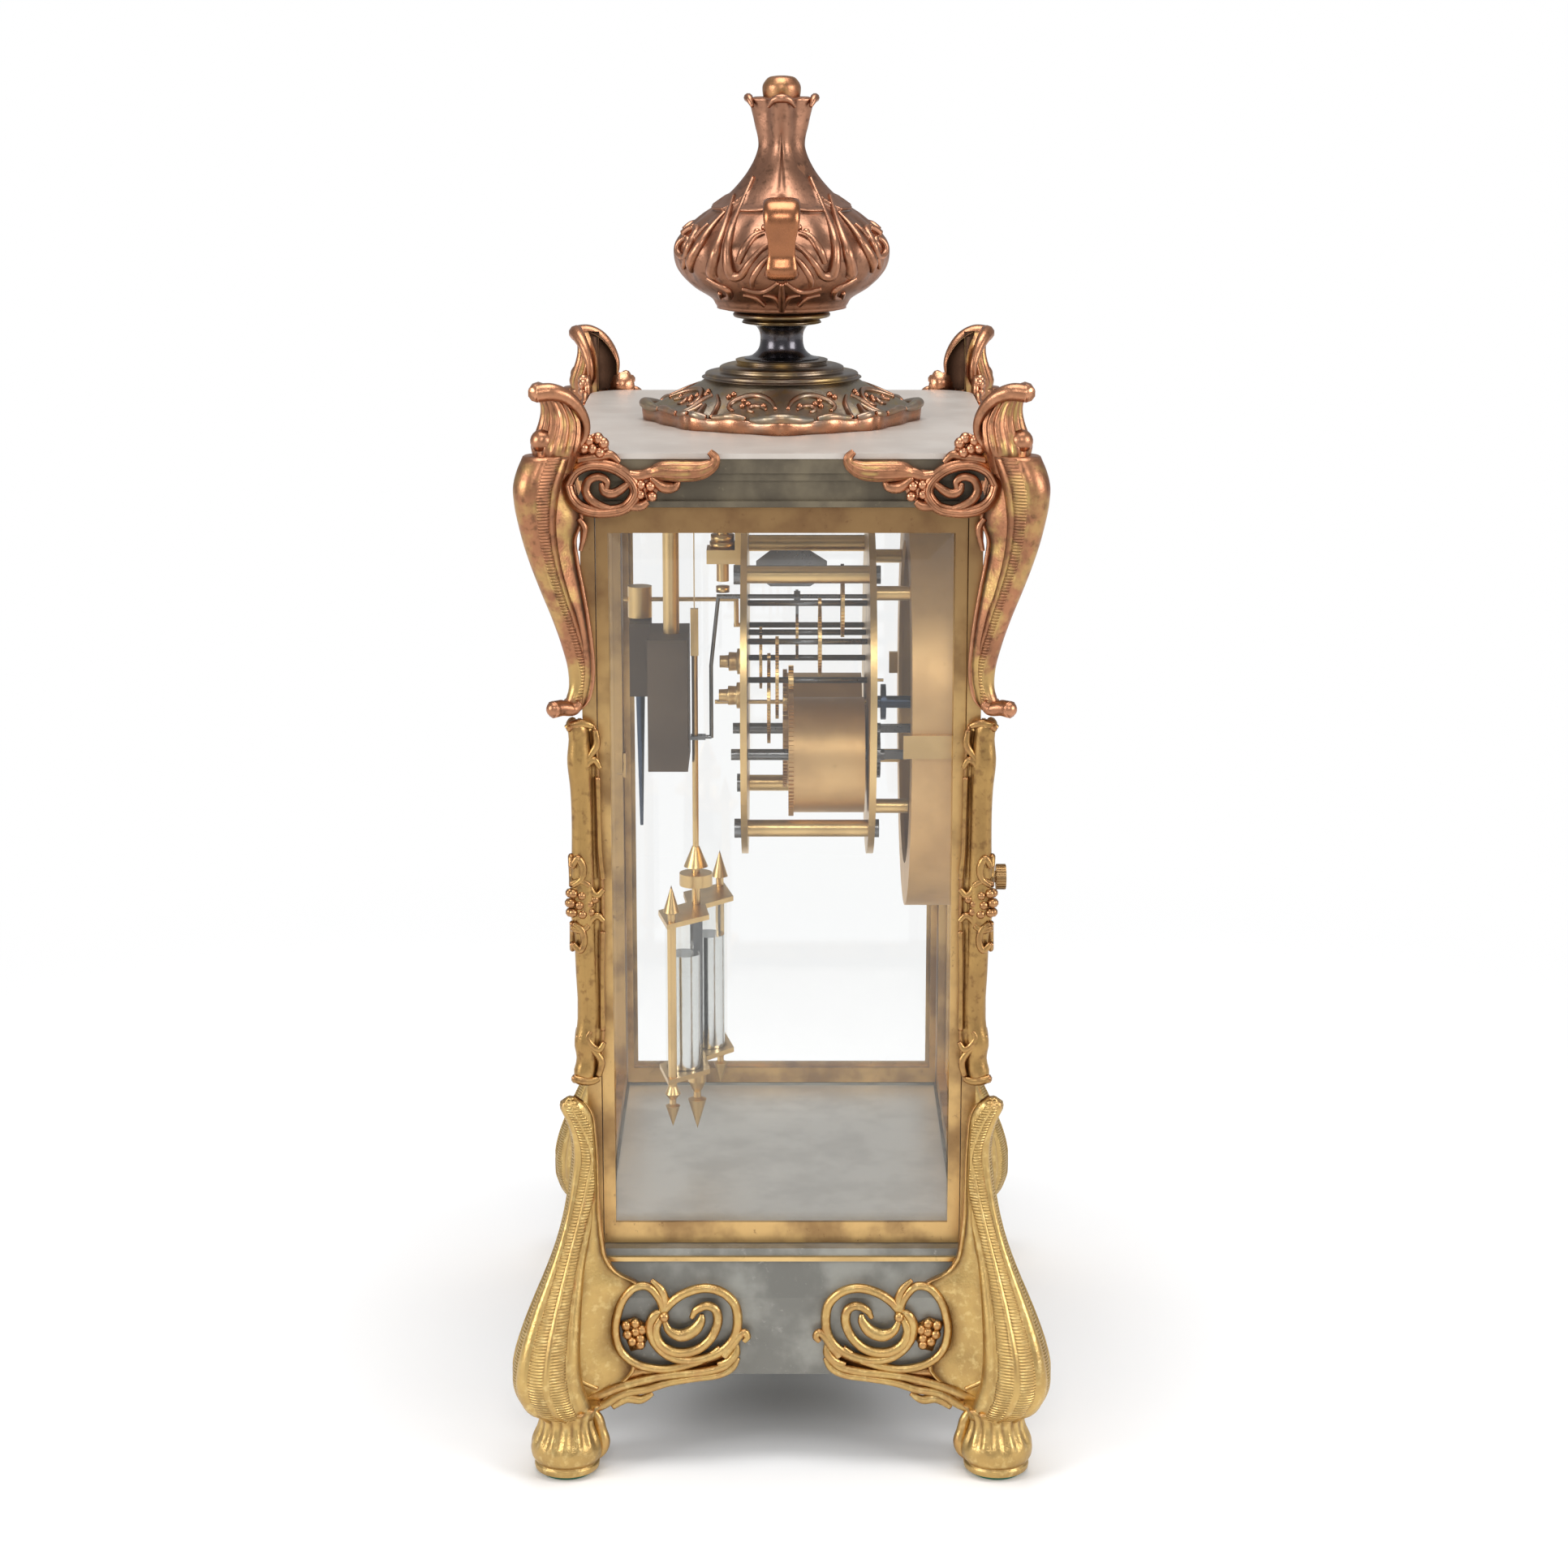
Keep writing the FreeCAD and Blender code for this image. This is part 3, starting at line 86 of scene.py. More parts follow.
class Value:
    """A number socket of a node tree: arithmetic on it adds Math nodes."""

    def __init__(self, tree, socket):
        self.tree = tree
        self.socket = socket

    def maths(self, operation, a, b=None, clamp=False):
        node = self.tree.nodes.new("ShaderNodeMath")
        node.operation = operation
        node.use_clamp = clamp
        for socket, item in zip(node.inputs, (a, b)):
            if isinstance(item, Value):
                self.tree.links.new(item.socket, socket)
            elif item is not None:
                socket.default_value = item
        return Value(self.tree, node.outputs[0])

    def __add__(self, other):
        return self.maths("ADD", self, other)

    __radd__ = __add__

    def __sub__(self, other):
        return self.maths("SUBTRACT", self, other)

    def __rsub__(self, other):
        return self.maths("SUBTRACT", other, self)

    def __mul__(self, other):
        return self.maths("MULTIPLY", self, other)

    __rmul__ = __mul__

    def clamped(self):
        return self.maths("ADD", self, 0.0, clamp=True)

    def band(self, low, high):
        """0 below low, 1 above high, smooth between."""
        node = self.tree.nodes.new("ShaderNodeMapRange")
        node.interpolation_type = "SMOOTHSTEP"
        self.tree.links.new(self.socket, node.inputs["Value"])
        node.inputs["From Min"].default_value = low
        node.inputs["From Max"].default_value = high
        return Value(self.tree, node.outputs[0])


class Finish:
    """One material: a Principled surface and the nodes that feed it."""

    def __init__(self, name, **constants):
        self.material = bpy.data.materials.new(name)
        self.material.use_nodes = True
        self.tree = self.material.node_tree
        self.tree.nodes.clear()
        self.output = self.tree.nodes.new("ShaderNodeOutputMaterial")
        self.shader = self.tree.nodes.new("ShaderNodeBsdfPrincipled")
        self.tree.links.new(self.shader.outputs[0], self.output.inputs[0])
        for socket, value in constants.items():
            self.shader.inputs[socket.replace("_", " ")].default_value = value
        self.place = self.add("ShaderNodeTexCoord", output="Object").socket

    def add(self, kind, settings=None, inputs=None, output=0):
        node = self.tree.nodes.new(kind)
        for key, value in (settings or {}).items():
            setattr(node, key, value)
        for key, value in (inputs or {}).items():
            if isinstance(value, Value):
                self.tree.links.new(value.socket, node.inputs[key])
            elif isinstance(value, bpy.types.NodeSocket):
                self.tree.links.new(value, node.inputs[key])
            else:
                node.inputs[key].default_value = value
        return Value(self.tree, node.outputs[output])

    def noise(self, scale_mm, detail=3.0, rough=0.55, stretch=(1, 1, 1)):
        """Noise whose features are about scale_mm across, between 0 and 1."""
        mapping = self.add("ShaderNodeMapping", inputs={"Vector": self.place, "Scale": stretch})
        return self.add("ShaderNodeTexNoise", inputs={
            "Vector": mapping, "Scale": 1000.0 / scale_mm, "Detail": detail, "Roughness": rough})

    def crevice(self):
        """The curvature of the mesh: low in grooves, about a half on flats, high on edges."""
        return self.add("ShaderNodeNewGeometry", output="Pointiness")

    def attribute(self, name):
        return self.add("ShaderNodeAttribute", {"attribute_name": name}, output="Fac")

    def mix(self, factor, first, second):
        """Mixes two colours, each a triple or an earlier mix."""
        node = self.tree.nodes.new("ShaderNodeMix")
        node.data_type = "RGBA"
        for socket, item in ((node.inputs[0], factor), (node.inputs[6], first), (node.inputs[7], second)):
            if isinstance(item, Value):
                self.tree.links.new(item.socket, socket)
            elif isinstance(item, tuple):
                socket.default_value = (*item, 1.0)
            else:
                socket.default_value = item
        return Value(self.tree, node.outputs[2])

    def feed(self, socket, value):
        self.tree.links.new(value.socket, self.shader.inputs[socket])

    def bump(self, *heights):
        """Adds one or more (height, strength, distance_mm) bumps to the surface normal."""
        normal = None
        for height, strength, distance in heights:
            inputs = {"Height": height, "Strength": strength, "Distance": distance * MM}
            if normal is not None:
                inputs["Normal"] = normal
            normal = self.add("ShaderNodeBump", inputs=inputs)
        self.feed("Normal", normal)


GOLD = (0.58, 0.39, 0.145)
PALE_GOLD = (0.76, 0.58, 0.26)
OLD_BROWN = (0.16, 0.075, 0.035)
COPPER = (0.42, 0.19, 0.10)
DEEP_BROWN = (0.085, 0.045, 0.028)
# The silver-grey of the painted highlight streaks on the urn.
PAINTED_HIGHLIGHT_GREY = (0.36, 0.39, 0.38)
GLASS_SHINE = 0.05


def cast_finish(name, body, recess, edge, edge_amount, painted_highlight_amount=0.0, stipple=0.4, flats=None):
    """A cast and patinated surface: dark in the recesses, rubbed on the edges, mottled between, with optional
    streaks of painted highlight.
    """
    f = Finish(name, Metallic=1.0)
    curve = f.crevice()
    mottle = f.noise(14, 4)
    fine = f.noise(1.1, 2)
    deep = (curve + (mottle - 0.5) * 0.10).band(0.415, 0.50)
    rubbed = (curve + (f.noise(5, 3) - 0.5) * 0.09).band(0.525, 0.60) * edge_amount
    colour = f.mix(mottle.band(0.38, 0.66), body, tuple(0.72 * b + 0.28 * e for b, e in zip(body, recess)))
    colour = f.mix(f.noise(2.6, 3).band(0.50, 0.72) * 0.55, colour, PALE_GOLD if body == GOLD else recess)
    if flats:
        colour = f.mix(f.noise(9, 4).band(0.44, 0.62) * (1.0 - curve.band(0.49, 0.53)) * 0.85, colour, flats)
    colour = f.mix(1.0 - deep, colour, recess)
    colour = f.mix(rubbed, colour, edge)
    # Painted highlight: upright silver-grey streaks, kept out of the recesses, stand in for the lamps'
    # highlights on the urn.
    if painted_highlight_amount:
        painted_highlight_mask = f.noise(16, 3, stretch=(1, 1, 0.35)).band(0.56, 0.66) * (1.0 - deep.band(0.2, 0.9)) * painted_highlight_amount
        colour = f.mix(painted_highlight_mask, colour, PAINTED_HIGHLIGHT_GREY)
    f.feed("Base Color", colour)
    f.feed("Roughness", (0.30 + fine * 0.16 + (1.0 - deep) * 0.22 - rubbed * 0.10).clamped())
    milled = f.attribute("milled")
    lines = f.add("ShaderNodeTexWave", {"wave_type": "BANDS", "bands_direction": "Z"},
                  {"Vector": f.place, "Scale": 300.0, "Distortion": 0.0})
    f.bump((fine, 0.35 * stipple, 0.25), (f.noise(0.7, 1), stipple, 0.18), (lines * milled, 0.9, 0.45))
    return f.material


def satin_metal(name, colour, shade, rough, brushed=(1, 1, 1), mottle=0.35, metallic=1.0, coat=0.0,
        painted_shade_from=None):
    """Worked metal: brushed along one way, tarnished in soft patches, and where asked painted darker towards
    the top as painted shade.
    """
    f = Finish(name, Metallic=metallic)
    f.shader.inputs["Coat Weight"].default_value = coat
    patches = f.noise(22, 4)
    grain = f.noise(0.9, 2, stretch=brushed)
    tint = f.mix(patches.band(0.40, 0.68) * mottle, colour, shade)
    tint = f.mix(f.noise(3.0, 5, 0.7).band(0.60, 0.74) * mottle, tint, shade)
    # Painted shade: above the given heights the colour is mixed towards the tarnish colour, so the top of the
    # part reads darker.
    if painted_shade_from:
        height = f.add("ShaderNodeSeparateXYZ", inputs={"Vector": f.place}, output="Z")
        tint = f.mix(height.band(*painted_shade_from) * 0.7, tint, shade)
    f.feed("Base Color", tint)
    f.feed("Roughness", (rough + (grain - 0.5) * 0.16 + patches * 0.08).clamped())
    f.bump((grain, 0.16, 0.12))
    return f.material


def glass_finish(name, tint):
    """Clear sheet glass that lets light through with a thin reflection."""
    f = Finish(name, Metallic=0.0, Roughness=0.0, IOR=1.45)
    f.shader.inputs["Transmission Weight"].default_value = 1.0
    f.shader.inputs["Base Color"].default_value = (*tint, 1.0)
    clear = f.tree.nodes.new("ShaderNodeBsdfTransparent")
    clear.inputs[0].default_value = (*tint, 1.0)
    gloss = f.tree.nodes.new("ShaderNodeBsdfGlossy")
    gloss.inputs["Roughness"].default_value = 0.0
    blend = f.tree.nodes.new("ShaderNodeMixShader")
    blend.inputs[0].default_value = GLASS_SHINE
    f.tree.links.new(clear.outputs[0], blend.inputs[1])
    f.tree.links.new(gloss.outputs[0], blend.inputs[2])
    f.tree.links.new(blend.outputs[0], f.output.inputs[0])
    return f.material


# ---- mesh maths ----------------------------------------------------------------------------------


def smooth_path(points, count):
    """A Catmull-Rom curve through the points, sampled evenly by parameter."""
    p = np.array([points[0], *points, points[-1]], float)
    spans = len(points) - 1
    out = []
    for t in np.linspace(0, spans, count):
        i = min(int(t), spans - 1)
        u = t - i
        a, b, c, e = p[i], p[i + 1], p[i + 2], p[i + 3]
        out.append(0.5 * (2 * b + (c - a) * u + (2 * a - 5 * b + 4 * c - e) * u ** 2
                          + (3 * b - a - 3 * c + e) * u ** 3))
    return np.array(out)


def along(values, stations, at):
    """A value that changes smoothly between stations."""
    order = np.argsort(stations)
    xs, ys = np.array(stations, float)[order], np.array(values, float)[order]
    slopes = np.gradient(ys, xs)
    i = np.clip(np.searchsorted(xs, at) - 1, 0, len(xs) - 2)
    width = xs[i + 1] - xs[i]
    t = np.clip((at - xs[i]) / width, 0, 1)
    return ((2 * t ** 3 - 3 * t ** 2 + 1) * ys[i] + (t ** 3 - 2 * t ** 2 + t) * width * slopes[i]
            + (-2 * t ** 3 + 3 * t ** 2) * ys[i + 1] + (t ** 3 - t ** 2) * width * slopes[i + 1])


class Casting:
    """Vertices and faces in millimetres, gathered from lofts, tubes and balls."""

    def __init__(self):
        self.points = []
        self.faces = []
        self.milled = []

    def add(self, points, faces, milled=None):
        start = sum(len(p) for p in self.points)
        points = np.array(points, float)
        self.points.append(points)
        self.faces += [tuple(start + i for i in face) for face in faces]
        self.milled.append(np.zeros(len(points)) if milled is None else np.array(milled, float))

    def loft(self, rings, ends=True, closed=False, milled=None):
        """Joins closed rings of equal length into a skin, with both ends filled."""
        rings = np.array(rings, float)
        rows, sides = rings.shape[:2]
        faces = []
        for r in range(rows if closed else rows - 1):
            n = (r + 1) % rows
            for s in range(sides):
                t = (s + 1) % sides
                faces.append((r * sides + s, r * sides + t, n * sides + t, n * sides + s))
        if ends and not closed:
            faces.append(tuple(reversed(range(sides))))
            faces.append(tuple((rows - 1) * sides + s for s in range(sides)))
        self.add(rings.reshape(-1, 3), faces, milled)

    def tube(self, path, radius, sides=10, flat=1.0, up=(0, 0, 1), closed=False, count=None, flutes=0,
            depth=0.12, square=1.0):
        """Sweeps an oval along a path; radius and flat are one number or one for each control point."""
        count = count or max(12, 7 * len(path))
        radii = np.full(len(path), radius, float) if np.isscalar(radius) else np.array(radius, float)
        flats = np.full(len(path), flat, float) if np.isscalar(flat) else np.array(flat, float)
        line = smooth_path(np.column_stack([np.array(path, float), radii, flats]), count)
        if closed:
            line = line[:-1]
        spine, radii, flats = line[:, :3], line[:, 3], line[:, 4]
        run = np.roll(spine, -1, 0) - np.roll(spine, 1, 0) if closed else np.gradient(spine, axis=0)
        run /= np.linalg.norm(run, axis=1)[:, None] + TINY
        up = np.array(up, float)
        side = np.cross(run, up)
        side /= np.linalg.norm(side, axis=1)[:, None] + TINY
        rise = np.cross(side, run)
        angles = np.linspace(0, 2 * math.pi, sides, endpoint=False)
        wave = 1 + (depth * np.cos(flutes * angles) if flutes else 0 * angles)
        across = wave * np.sign(np.cos(angles)) * np.abs(np.cos(angles)) ** square
        upward = wave * np.sign(np.sin(angles)) * np.abs(np.sin(angles)) ** square
        rings = [c + r * (np.outer(across, a) + f * np.outer(upward, b))
                 for c, r, f, a, b in zip(spine, radii, flats, side, rise)]
        self.loft(rings, closed=closed)

    def ball(self, centre, radius, rows=7, sides=10):
        turns = np.linspace(0, 2 * math.pi, sides, endpoint=False)
        rings = []
        for v in np.linspace(POLE, math.pi - POLE, rows):
            rings.append([(math.sin(v) * math.cos(a), math.sin(v) * math.sin(a), math.cos(v)) for a in turns])
        self.loft(np.array(rings)[::-1] * radius + np.array(centre, float))

    def turn(self, profile, centre=(0, 0), sides=64, shape=None):
        """Turns a closed profile of (radius, height) about an upright axis; shape moves its points."""
        rows = []
        for r, z in profile:
            ring = [(r * math.cos(a), r * math.sin(a), z) for a in np.linspace(0, 2 * math.pi, sides,
                endpoint=False)]
            rows.append([shape(*p) if shape else p for p in ring])
        rows = np.array(rows)
        rows[:, :, :2] += np.array(centre)
        self.loft(rows)

    def copied(self, change, flip):
        """The same casting with its points changed, turned right side out again if the change mirrors it."""
        image = Casting()
        image.points = [change(p) for p in self.points]
        image.faces = [tuple(reversed(f)) for f in self.faces] if flip else list(self.faces)
        image.milled = list(self.milled)
        return image

    def join(self, other):
        start = sum(len(p) for p in self.points)
        self.points += other.points
        self.faces += [tuple(start + i for i in face) for face in other.faces]
        self.milled += other.milled

    def piece(self, name, material, body, node=None, slot=None, smooth=True):
        """Makes the Blender object, in metres, and hands it to the frame."""
        mesh = bpy.data.meshes.new(name)
        points = np.clip(np.vstack(self.points) * MM, *cad_box)
        mesh.from_pydata(points.tolist(), [], self.faces)
        mesh.attributes.new("milled", "FLOAT", "POINT").data.foreach_set("value", np.concatenate(self.milled))
        mesh.materials.append(material)
        work = bmesh.new()
        work.from_mesh(mesh)
        bmesh.ops.recalc_face_normals(work, faces=work.faces)
        work.to_mesh(mesh)
        work.free()
        mesh.polygons.foreach_set("use_smooth", [smooth] * len(mesh.polygons))
        thing = placed(name, mesh)
        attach(thing, body)
        if node:
            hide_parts(node)


class Corner:
    """A mount that wraps the +X +Y corner; a point of its side face is (y, z) and a height off it."""

    def __init__(self, face_x, face_y):
        self.face_x = face_x
        self.face_y = face_y
        self.cast = Casting()

    def on_face(self, points, height):
        heights = np.full(len(points), height, float) if np.isscalar(height) else np.array(height, float)
        return [(self.face_x + h, y, z) for (y, z), h in zip(points, heights)]

    def cord(self, points, height, radius, **options):
        """A raised cord of metal drawn on the face."""
        self.cast.tube(self.on_face(points, height), radius, up=(1, 0, 0), **options)

    def plate(self, points, low, high):
        """A flat plate with the given outline."""
        self.cast.loft([self.on_face(points, low), self.on_face(points, high)])

    def berries(self, points, height, radius):
        for centre in self.on_face(points, height):
            self.cast.ball(centre, radius, rows=6, sides=9)

    def wrap(self, stations, ribs, rows, flutes=None, border=0.8):
        """The skin that wraps the corner.

        Each station is (z, inner y, panel's outer y, outermost y, panel height, back height). A flat panel
        with a raised border runs out from the inner edge to a round lobe whose centre lies on the diagonal.
        Each rib is (angle, half width, height, milled), with angles in degrees round the lobe, 135 on the
        diagonal. Flutes are (how many to a turn, depth, lowest z, highest z).
        """
        table = np.array(stations, float)
        heights = np.linspace(table[0, 0], table[-1, 0], rows)
        columns = [along(table[:, i], table[:, 0], heights) for i in range(1, 6)]
        rings, milled = [], []
        for z, inner, start, outer, panel, back in zip(heights, *columns):
            edge, begin, proud = self.face_y - inner, self.face_y - start, outer - self.face_y
            begin = min(begin, edge - 0.6)
            half = begin - panel + proud
            centre = -half + math.sqrt(max(half ** 2 - (begin ** 2 + panel ** 2 - proud ** 2), 0.01))
            radius = proud - centre
            first = math.degrees(math.atan2(panel - centre, begin + centre))
            trim = min(1.0, (edge - begin) / 3.0) * border
            low = min(panel * 0.6, 2.2)
            line = [(edge, back, 0), (edge, low + trim, 0), (edge - 0.7 * trim, low + 1.2 * trim, 0),
                    (edge - 1.4 * trim, low + 0.9 * trim, 0), (edge - 1.8 * trim, low, 0)]
            start_a, start_h = edge - 1.8 * trim, low
            for t in (0.25, 0.5, 0.75, 0.93):
                line.append((start_a + t * (begin - start_a), start_h + t * (panel - start_h), 0))
            for angle in np.linspace(first, 135, 58):
                lift, cut = 0.0, 0.0
                for middle, width, tall, mill in ribs:
                    u = (angle - middle) / width
                    if abs(u) < 1:
                        lift += tall * (1 - u * u) ** 0.8
                        cut = max(cut, mill)
                if flutes:
                    count, depth, bottom, top = flutes
                    fade = np.clip((z - bottom) / 3, 0, 1) * np.clip((top - z) / 3, 0, 1)
                    lift += fade * depth * math.cos(math.radians(angle - 135) * count)
                r = radius + lift * min(1.0, radius / 8.0)
                line.append((-centre + r * math.cos(math.radians(angle)),
                    centre + r * math.sin(math.radians(angle)), cut))
            ring = [(self.face_x + h, self.face_y - a, z) for a, h, _ in line]
            ring += [(self.face_x - a, self.face_y + h, z) for a, h, _ in line[-2::-1]]
            ring.append((self.face_x + back, self.face_y + back, z))
            rings.append(ring)
            milled.append([m for _, _, m in line] + [m for _, _, m in line[-2::-1]] + [0])
        self.cast.loft(rings, milled=np.array(milled).ravel())

    def spread(self):
        """The side face's casting with its image on the other face."""
        return both_faces(self.cast, self.face_x, self.face_y)


def every_corner(casting):
    """A casting for the +X +Y corner with its three mirror images."""
    whole = Casting()
    for sx in (1, -1):
        for sy in (1, -1):
            signs = np.array([sx, sy, 1.0])
            whole.join(casting.copied(lambda p, s=signs: p * s, sx * sy < 0))
    return whole


def both_faces(casting, face_x, face_y):
    """A casting on the X face of the corner together with its image on the Y face."""
    whole = casting.copied(lambda p: p, False)
    swap = lambda p: np.column_stack([face_x + p[:, 1] - face_y, face_y + p[:, 0] - face_x, p[:, 2]])
    whole.join(casting.copied(swap, True))
    return whole


# ---- studio --------------------------------------------------------------------------------------


def white_sweep():
    """White paper that fades into an even white away from the object."""
    f = Finish("white_sweep", Roughness=0.9, Base_Color=(0.93, 0.93, 0.93, 1.0))
    f.shader.inputs["Specular IOR Level"].default_value = 0.1
    distance = f.add("ShaderNodeVectorMath", {"operation": "LENGTH"}, {0: f.place}, "Value")
    glow = f.tree.nodes.new("ShaderNodeEmission")
    glow.inputs["Strength"].default_value = 1.0
    blend = f.tree.nodes.new("ShaderNodeMixShader")
    f.tree.links.new(distance.band(0.22, 0.75).socket, blend.inputs[0])
    f.tree.links.new(f.shader.outputs[0], blend.inputs[1])
    f.tree.links.new(glow.outputs[0], blend.inputs[2])
    f.tree.links.new(blend.outputs[0], f.output.inputs[0])
    return f.material


CAMERA_PLACE = (-1.1396, 0.0, 0.4877)
CAMERA_TILT = 13.237
CAMERA_LENS = 74.32
CAMERA_SENSOR = 36.0
CAMERA_NEAR = 0.01
CAMERA_SHIFT = 0.0015
FLOOR_HALF = 3.0
FLOOR_Z = -0.0002
ROOM_LIGHT = 0.42
LAMP_TARGET = (0, 0, 0.25)
LAMPS = (
    # name, place, size in metres, watts
    ("top_box", (-0.1, 0.0, 1.7), 1.0, 17.0),
    ("left_box", (-0.75, 1.3, 0.75), 0.7, 12.0),
    ("right_box", (-0.75, -1.3, 0.75), 0.7, 12.0),
    ("front_box", (-1.7, 0.0, 1.2), 0.5, 6.0),
)


def make_camera():
    camera = bpy.data.cameras.new("camera")
    camera.lens = CAMERA_LENS
    camera.sensor_width = CAMERA_SENSOR
    camera.clip_start = CAMERA_NEAR
    camera.shift_x = CAMERA_SHIFT
    stand = placed("camera", camera)
    stand.location = CAMERA_PLACE
    stand.rotation_euler = (math.radians(90 - CAMERA_TILT), 0.0, math.radians(-90))
    bpy.context.scene.camera = stand


def make_floor():
    corners = [(x * FLOOR_HALF, y * FLOOR_HALF, FLOOR_Z) for x, y in ((-1, -1), (1, -1), (1, 1), (-1, 1))]
    floor = bpy.data.meshes.new("floor")
    floor.from_pydata(corners, [], [(0, 1, 2, 3)])
    floor.materials.append(white_sweep())
    placed("floor", floor)


def make_world():
    """An even room that lights the clock softly and looks pure white behind it."""
    world = bpy.data.worlds.new("studio")
    world.use_nodes = True
    tree = world.node_tree
    room = tree.nodes["Background"]
    room.inputs[0].default_value = (0.97, 0.98, 1.0, 1.0)
    room.inputs[1].default_value = ROOM_LIGHT
    backdrop = tree.nodes.new("ShaderNodeBackground")
    backdrop.inputs[0].default_value = (1.0, 1.0, 1.0, 1.0)
    backdrop.inputs[1].default_value = 1.0
    path = tree.nodes.new("ShaderNodeLightPath")
    choice = tree.nodes.new("ShaderNodeMixShader")
    tree.links.new(path.outputs["Is Camera Ray"], choice.inputs[0])
    tree.links.new(room.outputs[0], choice.inputs[1])
    tree.links.new(backdrop.outputs[0], choice.inputs[2])
    tree.links.new(choice.outputs[0], tree.nodes["World Output"].inputs[0])
    bpy.context.scene.world = world


def make_lamps():
    for name, place, size, power in LAMPS:
        light = bpy.data.lights.new(name, "AREA")
        light.size = size
        light.energy = power
        lamp = placed(name, light)
        lamp.location = place
        aim = Vector(LAMP_TARGET) - Vector(place)
        lamp.rotation_euler = aim.to_track_quat("-Z", "Y").to_euler()


def make_studio():
    make_camera()
    make_floor()
    make_world()
    make_lamps()
    bpy.context.scene.view_settings.view_transform = "Standard"


# ---- finishes ------------------------------------------------------------------------------------

EVEN = (1, 1, 1)

CAST_LOOKS = {
    # body, recesses, rubbed edges, share of the edges that is rubbed, and what else differs
    "gold_cast": (GOLD, OLD_BROWN, (0.5, 0.22, 0.09), 0.55, {"stipple": 0.55}),
    "copper_cast": (COPPER, DEEP_BROWN, (0.62, 0.3, 0.17), 0.8, {"stipple": 0.3, "flats": GOLD}),
    # urn_cast carries streaks of painted highlight in silver-grey.
    "urn_cast": ((0.37, 0.185, 0.115), DEEP_BROWN, (0.6, 0.28, 0.16), 0.8, {"painted_highlight_amount": 0.75, "stipple": 0.25}),
    "brown_gold_cast": ((0.46, 0.28, 0.1), OLD_BROWN, (0.4, 0.19, 0.09), 0.7, {"stipple": 0.35}),
    "skirt_cast": ((0.3, 0.26, 0.21), (0.36, 0.26, 0.11), (0.5, 0.22, 0.12), 0.95, {"stipple": 0.3}),
}

SATIN_LOOKS = {
    # colour, tarnish (also the colour of any painted shade), roughness, stretch of the grain, amount of
    # tarnish, and what else differs
    "rubbed_copper": ((0.42, 0.17, 0.08), (0.2, 0.09, 0.05), 0.24, EVEN, 0.5, {}),
    "ring_bronze": ((0.17, 0.13, 0.1), (0.42, 0.28, 0.1), 0.28, EVEN, 0.9, {}),
    # case_brass is painted darker towards its top as painted shade.
    "case_brass": (
        (0.66, 0.43, 0.18), (0.19, 0.1, 0.05), 0.36, (1, 1, 0.2), 0.7, {"painted_shade_from": (0.24, 0.33)}),
    "grey_patina": ((0.19, 0.185, 0.165), (0.34, 0.335, 0.3), 0.42, EVEN, 0.9, {"metallic": 0.6}),
    "black_patina": ((0.115, 0.095, 0.067), (0.23, 0.19, 0.125), 0.36, EVEN, 0.8, {"metallic": 0.6}),
    "floor_patina": ((0.68, 0.66, 0.6), (0.52, 0.5, 0.45), 0.4, EVEN, 0.6, {"metallic": 0.7}),
    "top_bronze": ((0.58, 0.52, 0.465), (0.67, 0.62, 0.565), 0.4, (1, 0.2, 1), 0.5, {"metallic": 0.5}),
    "gunmetal": ((0.065, 0.06, 0.068), (0.1, 0.085, 0.085), 0.22, EVEN, 0.3, {"coat": 0.4}),
    "movement_brass": ((0.7, 0.48, 0.21), (0.36, 0.22, 0.09), 0.3, EVEN, 0.4, {}),
    "drum_brass": ((0.7, 0.45, 0.2), (0.46, 0.27, 0.12), 0.42, (0.4, 0.4, 0.4), 0.45, {"metallic": 0.82}),
    "steel": ((0.2, 0.2, 0.2), (0.1, 0.09, 0.08), 0.26, EVEN, 0.5, {}),
    "blued_steel": ((0.05, 0.07, 0.11), (0.1, 0.11, 0.13), 0.28, (1, 1, 0.2), 0.4, {}),
    "gong_iron": ((0.07, 0.045, 0.025), (0.13, 0.09, 0.055), 0.66, EVEN, 0.5, {"metallic": 0.2}),
    "enamel": ((0.86, 0.84, 0.77), (0.8, 0.77, 0.69), 0.16, EVEN, 0.3, {"metallic": 0.0, "coat": 0.5}),
    "felt": ((0.03, 0.14, 0.08), (0.05, 0.2, 0.12), 0.95, EVEN, 0.6, {"metallic": 0.0}),
    "mercury": ((0.7, 0.71, 0.71), (0.62, 0.63, 0.63), 0.12, (1, 1, 0.4), 0.3, {}),
}

GLASS_TINTS = {
    "case_glass": (0.997, 0.999, 0.998),
    "jar_glass": (0.985, 0.985, 0.975),
}

finish = {name: cast_finish(name, *look, **more) for name, (*look, more) in CAST_LOOKS.items()}
finish |= {name: satin_metal(name, *look, **more) for name, (*look, more) in SATIN_LOOKS.items()}
finish |= {name: glass_finish(name, tint) for name, tint in GLASS_TINTS.items()}

